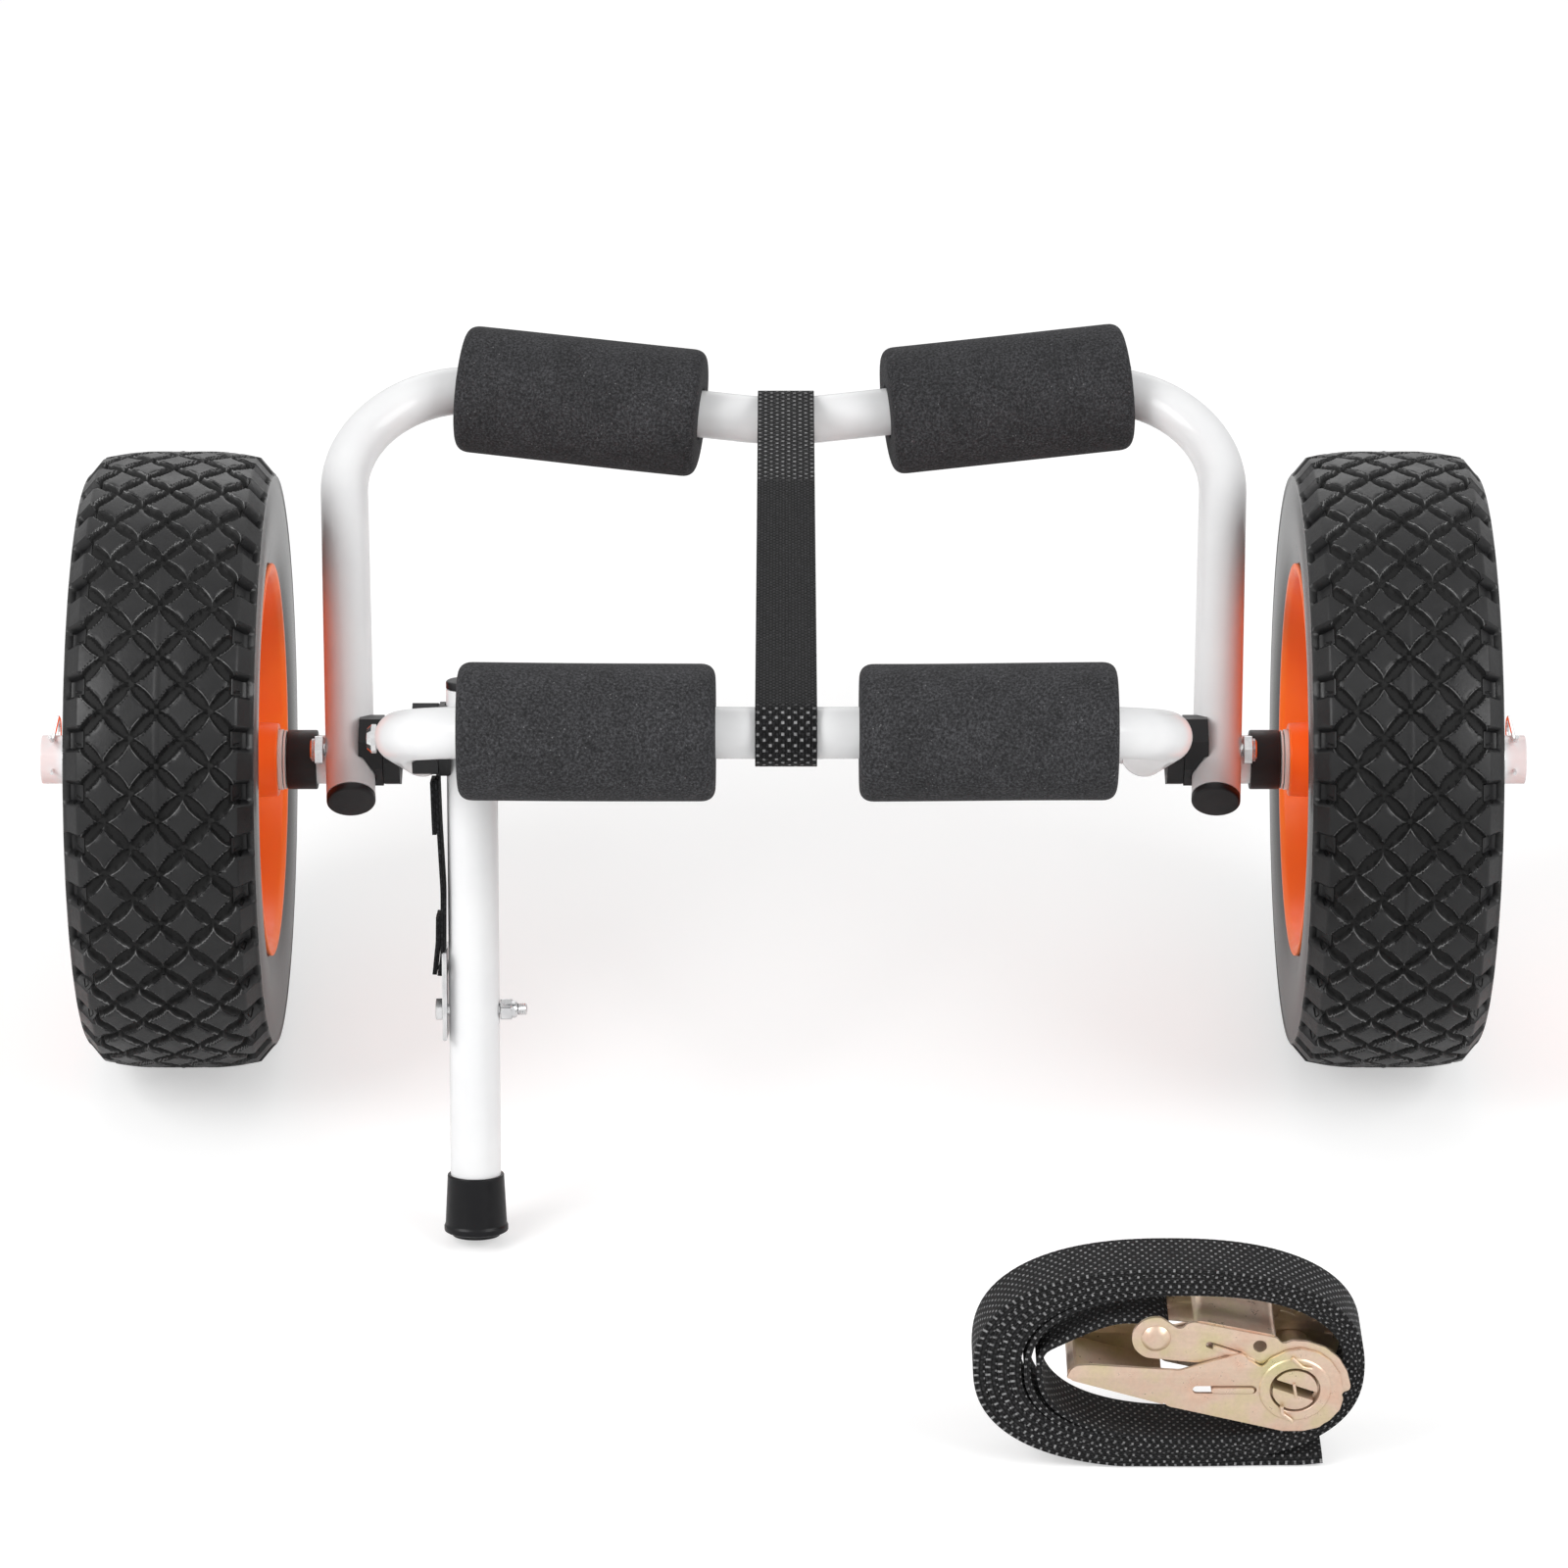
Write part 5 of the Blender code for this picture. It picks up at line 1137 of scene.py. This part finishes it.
class Finish:
    """A material's node tree, with a Principled shader and short ways to add and join nodes."""

    def __init__(self, name, roughness, metallic=0.0, **shader):
        self.material = bpy.data.materials.new(name)
        self.material.use_nodes = True
        self.tree = self.material.node_tree
        self.shader = self.tree.nodes["Principled BSDF"]
        self.shader.inputs["Roughness"].default_value = roughness
        self.shader.inputs["Metallic"].default_value = metallic
        for socket, value in shader.items():
            self.shader.inputs[socket.replace("_", " ")].default_value = value
        self.place = self.add("ShaderNodeTexCoord").outputs["Object"]
        self.last_bump = None

    def add(self, kind, **inputs):
        made = self.tree.nodes.new(kind)
        for socket, value in inputs.items():
            made.inputs[socket.replace("_", " ")].default_value = value
        return made

    def join(self, start, end):
        self.tree.links.new(start, end)

    def fill(self, sockets, values):
        """Joins each value that comes from a node, and sets each that is a plain number."""
        for socket, value in zip(sockets, values):
            if isinstance(value, bpy.types.NodeSocket):
                self.join(value, socket)
            else:
                socket.default_value = value

    def axes(self, source):
        """The x, y and z of a vector."""
        parts = self.add("ShaderNodeSeparateXYZ")
        self.join(source, parts.inputs[0])
        return parts.outputs

    def unrolled(self):
        """The two numbers of the piece's own UV map."""
        return self.axes(self.add("ShaderNodeTexCoord").outputs["UV"])[:2]

    def noise(self, scale, detail=3.0, roughness=0.55, place=None):
        made = self.add("ShaderNodeTexNoise", Scale=scale, Detail=detail, Roughness=roughness)
        self.join(place or self.place, made.inputs["Vector"])
        return made.outputs["Fac"]

    def cells(self, scale):
        made = self.add("ShaderNodeTexVoronoi", Scale=scale)
        self.join(self.place, made.inputs["Vector"])
        return made.outputs["Distance"]

    def stretched(self, scale):
        made = self.add("ShaderNodeMapping")
        made.inputs["Scale"].default_value = scale
        self.join(self.place, made.inputs["Vector"])
        return made.outputs["Vector"]

    def graded(self, value, *stops):
        """A colour that runs through the stops as the value goes from 0 to 1."""
        made = self.add("ShaderNodeValToRGB")
        band = made.color_ramp
        while len(band.elements) < len(stops):
            band.elements.new(0.5)
        for element, (position, colour) in zip(band.elements, stops):
            element.position = position
            element.color = (*colour, 1.0)
        self.join(value, made.inputs["Fac"])
        return made.outputs["Color"]

    def number(self, value, *stops):
        return self.graded(value, *[(position, (level,) * 3) for position, level in stops])

    def mixed(self, share, first, second, kind="MIX"):
        made = self.add("ShaderNodeMix")
        made.data_type = "RGBA"
        made.blend_type = kind
        self.fill((made.inputs[0], made.inputs[6], made.inputs[7]), (share, first, second))
        return made.outputs[2]

    def maths(self, kind, *values):
        made = self.add("ShaderNodeMath")
        made.operation = kind
        self.fill(made.inputs, values)
        return made.outputs[0]

    def times(self, first, second):
        return self.maths("MULTIPLY", first, second)

    def plus(self, first, second):
        return self.maths("ADD", first, second)

    def less(self, first, second):
        return self.maths("SUBTRACT", first, second)

    def apart(self, first, second):
        return self.maths("ABSOLUTE", self.less(first, second))

    def smooth(self, value, low, high):
        """0 at low, 1 at high, eased between; low may be the larger of the two."""
        made = self.add("ShaderNodeMapRange")
        made.interpolation_type = "SMOOTHSTEP"
        for socket, level in (("From Min", low), ("From Max", high)):
            made.inputs[socket].default_value = level
        self.join(value, made.inputs["Value"])
        return made.outputs["Result"]

    def colour(self, source):
        self.join(source, self.shader.inputs["Base Color"])

    def gloss(self, source):
        self.join(source, self.shader.inputs["Roughness"])

    def relief(self, height, distance, strength=1.0):
        """A bump on top of the bumps that the finish already has."""
        made = self.add("ShaderNodeBump", Strength=strength, Distance=distance)
        self.join(height, made.inputs["Height"])
        if self.last_bump:
            self.join(self.last_bump, made.inputs["Normal"])
        self.last_bump = made.outputs["Normal"]
        self.join(self.last_bump, self.shader.inputs["Normal"])


# %% [markdown]
# The tubes are aluminium with a satin silver coat: pale and nearly even, with faint clouds, a gloss
# that varies a little and the fine orange peel of the coat. The welds have more of the peel.


# %% Silver tube and weld
def silver(name, peel):
    """A clear coat over pale silver; peel scales the height of its two bumps."""
    made = Finish(name, 0.42, Specular_IOR_Level=0.15, Coat_Weight=0.45, Coat_Roughness=0.04)
    clouds = made.noise(38.0, 4.0)
    made.colour(made.graded(clouds, (0.30, (0.77, 0.773, 0.78)), (0.72, (0.81, 0.812, 0.815))))
    made.gloss(made.number(made.noise(70.0, 4.0, 0.6), (0.30, 0.36), (0.72, 0.45)))
    made.relief(made.noise(1500.0, 2.0), 0.00001 * peel, 0.4)
    made.relief(made.noise(90.0, 2.0), 0.00002 * peel, 0.3)
    return made.material


# %% Zinc-plated steel, bright and yellow
def bright_zinc():
    """Bright plating: a fine spangle in the colour, and marks drawn out along z."""
    made = Finish("bright_zinc", 0.24, metallic=1.0)
    spangle = made.noise(160.0, 3.0)
    made.colour(made.graded(spangle, (0.32, (0.60, 0.60, 0.61)), (0.70, (0.76, 0.76, 0.76))))
    made.gloss(made.number(made.noise(300.0, 4.0), (0.30, 0.18), (0.75, 0.28)))
    made.relief(made.noise(1900.0, 3.0, 0.6, made.stretched((1.0, 1.0, 0.2))), 0.00001, 0.4)
    return made.material


def gold_zinc():
    """Yellow zinc: slow clouds from pink to olive, and a fine grain in tone and gloss."""
    made = Finish("yellow_zinc", 0.30, metallic=0.70)
    wash = made.noise(55.0, 3.0, 0.6)
    fine = made.noise(700.0, 4.0, 0.7)
    clouds = made.graded(
        wash, (0.30, (0.66, 0.44, 0.33)), (0.46, (0.66, 0.50, 0.39)),
        (0.58, (0.63, 0.51, 0.34)), (0.74, (0.56, 0.50, 0.27)),
    )
    shade = made.number(fine, (0.25, 0.90), (0.70, 1.04))
    made.colour(made.mixed(1.0, clouds, shade, "MULTIPLY"))
    made.gloss(made.number(made.noise(260.0, 5.0, 0.7), (0.28, 0.24), (0.72, 0.46)))
    made.relief(fine, 0.00001, 0.35)
    made.relief(made.noise(160.0, 2.0), 0.00006, 0.25)
    return made.material


# %% [markdown]
# The tyre is polyurethane foam with a moulded skin: nearly black and half glossy, with a leathery
# grain that is rougher in some blocks than in others. The rims and caps are injection-moulded.


# %% Tyre
def tread():
    """The UV holds pitches round and rows across, so the same lens as in the mesh gives each
    point's distance from the nearest groove. A glossy bead runs round each block, and a pale line
    along it, broken by noise, is a painted highlight. The grooves and shoulder cuts are painted near
    black as painted shade, and the sidewall a lighter grey, in part a painted sheen."""
    made = Finish("foam_tyre", 0.36, Specular_IOR_Level=0.32)
    pitch, row = made.unrolled()
    row = made.maths("ABSOLUTE", row)
    a = made.maths("PINGPONG", made.plus(pitch, row), 0.5)
    b = made.maths("PINGPONG", made.less(pitch, row), 0.5)
    inside = []
    for near, far in ((a, b), (b, a)):
        squared = made.maths("POWER", made.times(far, 2.0), 2.0)
        lens = made.maths("MULTIPLY_ADD", squared, -0.105, 0.125)
        inside.append(made.less(made.less(0.5, near), lens))
    gap = made.maths("MINIMUM", *inside)
    band = made.smooth(row, 1.50, 1.47)
    bead = made.times(made.smooth(made.apart(gap, 0.052), 0.016, 0.004), band)
    groove = made.times(made.smooth(gap, 0.040, 0.015), band)
    side = made.smooth(row, 1.88, 1.98)
    slanted = made.maths("MULTIPLY_ADD", row, 0.22, pitch)
    from_lug = made.less(0.5, made.maths("PINGPONG", slanted, 0.5))
    shoulder = made.times(made.smooth(row, 1.60, 1.63), made.smooth(row, 1.80, 1.77))
    cut = made.times(made.smooth(made.apart(from_lug, 0.045), 0.022, 0.008), shoulder)
    worn = made.noise(70.0, 4.0, 0.6)
    tone = made.graded(worn, (0.30, (0.006, 0.006, 0.0065)), (0.75, (0.013, 0.013, 0.0135)))
    # Grooves and shoulder cuts painted near black: painted shade in the recesses.
    tone = made.mixed(made.maths("MAXIMUM", groove, cut), tone, grey(0.0015))
    # Sidewall painted a lighter grey than the tread, in part a painted sheen on its smooth skin.
    tone = made.mixed(side, tone, grey(0.030))
    # A pale line along the bead, where noise allows: a painted highlight.
    painted_bead_glint = made.times(bead, made.smooth(made.noise(95.0, 2.0), 0.42, 0.60))
    made.colour(made.mixed(painted_bead_glint, tone, grey(0.16)))
    skin = made.noise(620.0, 5.0, 0.65)
    fine = made.number(skin, (0.30, 0.26), (0.72, 0.52))
    patches = made.number(made.noise(42.0, 2.0), (0.32, 0.24), (0.70, 0.56))
    gloss = made.mixed(0.5, fine, patches)
    gloss = made.mixed(bead, gloss, grey(0.13))
    gloss = made.mixed(groove, gloss, grey(0.70))
    made.gloss(made.mixed(side, gloss, grey(0.24)))
    made.relief(made.less(bead, made.times(cut, 2.0)), 0.00018, 0.9)
    rough = made.less(1.0, made.times(side, 0.9))
    made.relief(made.times(skin, rough), 0.00020, 0.45)
    made.relief(made.times(made.noise(2300.0, 2.0), rough), 0.00005, 0.5)
    return made.material


# %% Rim, black plastic, boot and bush
def moulded(name, low, high, roughness, grain, depth, shine=0.5):
    """Moulded plastic: a colour that flows between two near tones, and one grain of bumps."""
    made = Finish(name, roughness, Specular_IOR_Level=shine)
    made.colour(made.graded(made.noise(30.0, 3.0), (0.30, low), (0.72, high)))
    patches = made.noise(240.0, 4.0)
    made.gloss(made.number(patches, (0.28, roughness - 0.06), (0.72, roughness + 0.09)))
    made.relief(made.noise(grain, 3.0), depth, 0.5)
    return made.material


# %% [markdown]
# Closed-cell foam has a skin of burst cells: dark pits with pale edges, so a cell pattern drives
# its relief at two sizes, and a grain and scattered pale specks its colour.


# %% Foam
def foam():
    """Clouds times a fine grain, with specks where a cell's middle meets a patch of noise."""
    made = Finish("cell_foam", 0.92, Specular_IOR_Level=0.25)
    clouds = made.noise(52.0, 4.0, 0.6)
    grain = made.number(made.noise(1000.0, 3.0, 0.7), (0.36, 0.38), (0.52, 1.0), (0.66, 1.9))
    tone = made.graded(clouds, (0.30, (0.028, 0.028, 0.030)), (0.72, (0.040, 0.040, 0.043)))
    tone = made.mixed(1.0, tone, grain, "MULTIPLY")
    patch = made.smooth(made.noise(170.0, 2.0), 0.50, 0.62)
    speck = made.times(made.smooth(made.cells(430.0), 0.16, 0.07), patch)
    made.colour(made.mixed(speck, tone, (0.16, 0.16, 0.165, 1.0)))
    made.relief(made.cells(1700.0), 0.00030, 0.55)
    made.relief(made.cells(620.0), 0.00045, 0.5)
    made.relief(made.noise(130.0, 3.0), 0.00050, 0.25)
    return made.material


# %% [markdown]
# Webbing is woven from flat black yarns. Its pattern follows the strip's own UV, in metres: rows of
# small humps, each row set half a hump on. Its colour is painted darker between rows and paler on
# the humps' tops, a painted shade and highlight, with pale dots painted as highlights where a yarn
# comes up. The strap between the bars has such dots only near its ends, where it is sewn.

# %% Webbing
REAR_SEWN = (0.128, 0.134)
FRONT_SEWN = (-0.081, -0.087)


def checkered(made, across, along, step_across, step_along):
    """Distances from the nearest of a field of points, every second row set half a step on."""
    rows = made.maths("DIVIDE", along, step_along)
    odd = made.times(made.maths("MODULO", made.maths("FLOOR", rows), 2.0), 0.5)
    place = made.plus(made.maths("DIVIDE", across, step_across), odd)
    return made.apart(made.maths("FRACT", place), 0.5), made.apart(made.maths("FRACT", rows), 0.5)


def weave(name, hump, row, dark, pale, sparkle, step, zoned=False):
    """Humps: the product of |sin| along the strip and |sin| across its rows, both to the power 0.6.
    The colour runs from dark to pale with their height, a painted shade and highlight. Dots, raised
    a little and painted pale as highlights, lie on a checkered field, and zoned keeps them to the
    two sewn ends."""
    made = Finish(name, 0.66, Specular_IOR_Level=0.12)
    across, along = made.unrolled()
    rows = made.maths("DIVIDE", across, row)
    odd = made.maths("MODULO", made.maths("FLOOR", rows), 2.0)
    place = made.plus(made.maths("DIVIDE", along, hump), made.times(odd, 0.5))
    waves = [made.maths("SINE", made.times(value, math.pi)) for value in (place, rows)]
    rise, ridge = (made.maths("POWER", made.maths("ABSOLUTE", wave), 0.6) for wave in waves)
    height = made.times(rise, ridge)
    # Darker with less height, paler with more: painted shade in the hollows, painted highlight on
    # the tops.
    tone = made.graded(height, (0.15, dark), (0.95, pale))
    flecks = made.number(made.noise(700.0, 2.0, 0.8), (0.50, 1.0), (0.64, sparkle))
    tone = made.mixed(1.0, tone, flecks, "MULTIPLY")
    beside, ahead = checkered(made, across, along, *step)
    dot = made.times(made.smooth(beside, 0.17, 0.07), made.smooth(ahead, 0.36, 0.16))
    if zoned:
        depth = made.axes(made.place)[1]
        sewn = [made.smooth(depth, *ends) for ends in (REAR_SEWN, FRONT_SEWN)]
        dot = made.times(dot, made.maths("MAXIMUM", *sewn))
    # Pale dots on the yarn tops: painted highlights.
    lit = made.times(dot, made.number(made.noise(500.0, 2.0), (0.35, 0.25), (0.60, 1.0)))
    made.colour(made.mixed(lit, tone, (0.34, 0.34, 0.345, 1.0)))
    made.relief(dot, 0.00030, 0.7)
    made.relief(height, 0.00045, 0.85)
    made.relief(made.noise(2600.0, 4.0, 0.7), 0.00012, 0.5)
    return made.material


# %% Make the finishes and give each piece its own
finishes = {
    "silver": silver("satin_silver", 1.0),
    "weld": silver("silver_weld", 6.0),
    "zinc": bright_zinc(),
    "gold": gold_zinc(),
    "orange": moulded(
        "orange_moulding", (1.0, 0.140, 0.004), (1.0, 0.175, 0.006), 0.36, 800.0, 0.00006, 0.30
    ),
    "tread": tread(),
    "plastic": moulded(
        "black_moulding", (0.007, 0.007, 0.008), (0.012, 0.012, 0.013), 0.40, 1100.0, 0.00008, 0.28
    ),
    "boot": moulded(
        "rubber_boot", (0.004, 0.004, 0.005), (0.007, 0.007, 0.008), 0.34, 500.0, 0.00008, 0.20
    ),
    "foam": foam(),
    "strap": weave(
        "strap_weave", 0.0026, 0.00125, (0.003, 0.003, 0.003), (0.010, 0.010, 0.011),
        3.0, (0.0048, 0.0021), zoned=True,
    ),
    "wound": weave(
        "wound_weave", 0.0024, 0.00080, (0.004, 0.004, 0.004), (0.020, 0.020, 0.021),
        2.0, (0.0042, 0.0016),
    ),
    "bush": moulded("white_moulding", (0.70, 0.70, 0.67), (0.78, 0.78, 0.75), 0.42, 700.0, 0.00004),
}
slot_finish = {}
for finish, slot in SLOTS.items():
    slot_finish.setdefault(slot, finish)
for part in frame["record"]["subparts"]:
    wanted.append((frame["nodes"][part["node"]], slot_finish[part["material_slot"]]))
for made, finish in wanted:
    made.data.materials.clear()
    made.data.materials.append(finishes[finish])
print(len(wanted), "pieces and CAD nodes given their finish")

# %% [markdown]
# The studio is a pale floor with three large soft lamps. The camera and the reflections see plain
# white, while the world lights the trolley at half of that, so pale tubes keep their shade. To the
# camera the floor glows a little, which keeps it white round its soft shadow.

# %% Floor
FLOOR_GLOW = 1.50
FLOOR_GLOW_SHARE = 0.32
bpy.ops.mesh.primitive_grid_add(
    x_subdivisions=4, y_subdivisions=4, size=16.0, location=(0.0, 3.0, -0.0005)
)
floor = bpy.context.object
floor.name = "floor"
paper = bpy.data.materials.new("paper")
paper.use_nodes = True
tree = paper.node_tree
matt = tree.nodes["Principled BSDF"]
matt.inputs["Base Color"].default_value = grey(0.90)
matt.inputs["Roughness"].default_value = 0.9
glow = tree.nodes.new("ShaderNodeEmission")
glow.inputs["Strength"].default_value = FLOOR_GLOW
rays = tree.nodes.new("ShaderNodeLightPath")
blend = tree.nodes.new("ShaderNodeMixShader")
share = tree.nodes.new("ShaderNodeMath")
share.operation = "MULTIPLY"
share.inputs[1].default_value = FLOOR_GLOW_SHARE
tree.links.new(rays.outputs["Is Camera Ray"], share.inputs[0])
tree.links.new(share.outputs[0], blend.inputs[0])
tree.links.new(matt.outputs[0], blend.inputs[1])
tree.links.new(glow.outputs[0], blend.inputs[2])
tree.links.new(blend.outputs[0], tree.nodes["Material Output"].inputs[0])
floor.data.materials.append(paper)
floor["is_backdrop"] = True

# %% World
WORLD_LIGHT = 0.50
world = bpy.data.worlds.new("studio")
bpy.context.scene.world = world
world.use_nodes = True
sky = world.node_tree
air = sky.nodes["Background"]
air.inputs["Color"].default_value = grey(1.0)
air.inputs["Strength"].default_value = WORLD_LIGHT
white = sky.nodes.new("ShaderNodeBackground")
white.inputs["Color"].default_value = grey(1.0)
white.inputs["Strength"].default_value = 1.0
seen = sky.nodes.new("ShaderNodeLightPath")
either, any_of_three = (sky.nodes.new("ShaderNodeMath") for _ in range(2))
either.operation = any_of_three.operation = "MAXIMUM"
choose = sky.nodes.new("ShaderNodeMixShader")
for start, end in (
    (seen.outputs["Is Camera Ray"], either.inputs[0]),
    (seen.outputs["Is Glossy Ray"], either.inputs[1]),
    (either.outputs[0], any_of_three.inputs[0]),
    (seen.outputs["Is Transmission Ray"], any_of_three.inputs[1]),
    (any_of_three.outputs[0], choose.inputs[0]),
    (air.outputs[0], choose.inputs[1]),
    (white.outputs[0], choose.inputs[2]),
    (choose.outputs[0], sky.nodes["World Output"].inputs[0]),
):
    sky.links.new(start, end)


# %% Lamps
def lamp(name, place, target, size, power):
    """A square area lamp that faces a point."""
    light = bpy.data.lights.new(name, "AREA")
    light.size = size
    light.energy = power
    made = bpy.data.objects.new(name, light)
    made.location = place
    made.rotation_euler = (Vector(target) - Vector(place)).to_track_quat("-Z", "Y").to_euler()
    bpy.context.scene.collection.objects.link(made)


lamp("key", (-1.3, -0.8, 1.25), (0, 0, 0.12), 1.1, 23.0)
lamp("fill", (1.3, -0.8, 1.1), (0, 0, 0.12), 1.1, 17.0)
lamp("back", (0.0, 2.2, 1.4), (0, 0, 0.15), 1.6, 8.0)

# %% Size of the scene
low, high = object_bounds()
print("scene box from", [round(v, 4) for v in low], "to", [round(v, 4) for v in high])
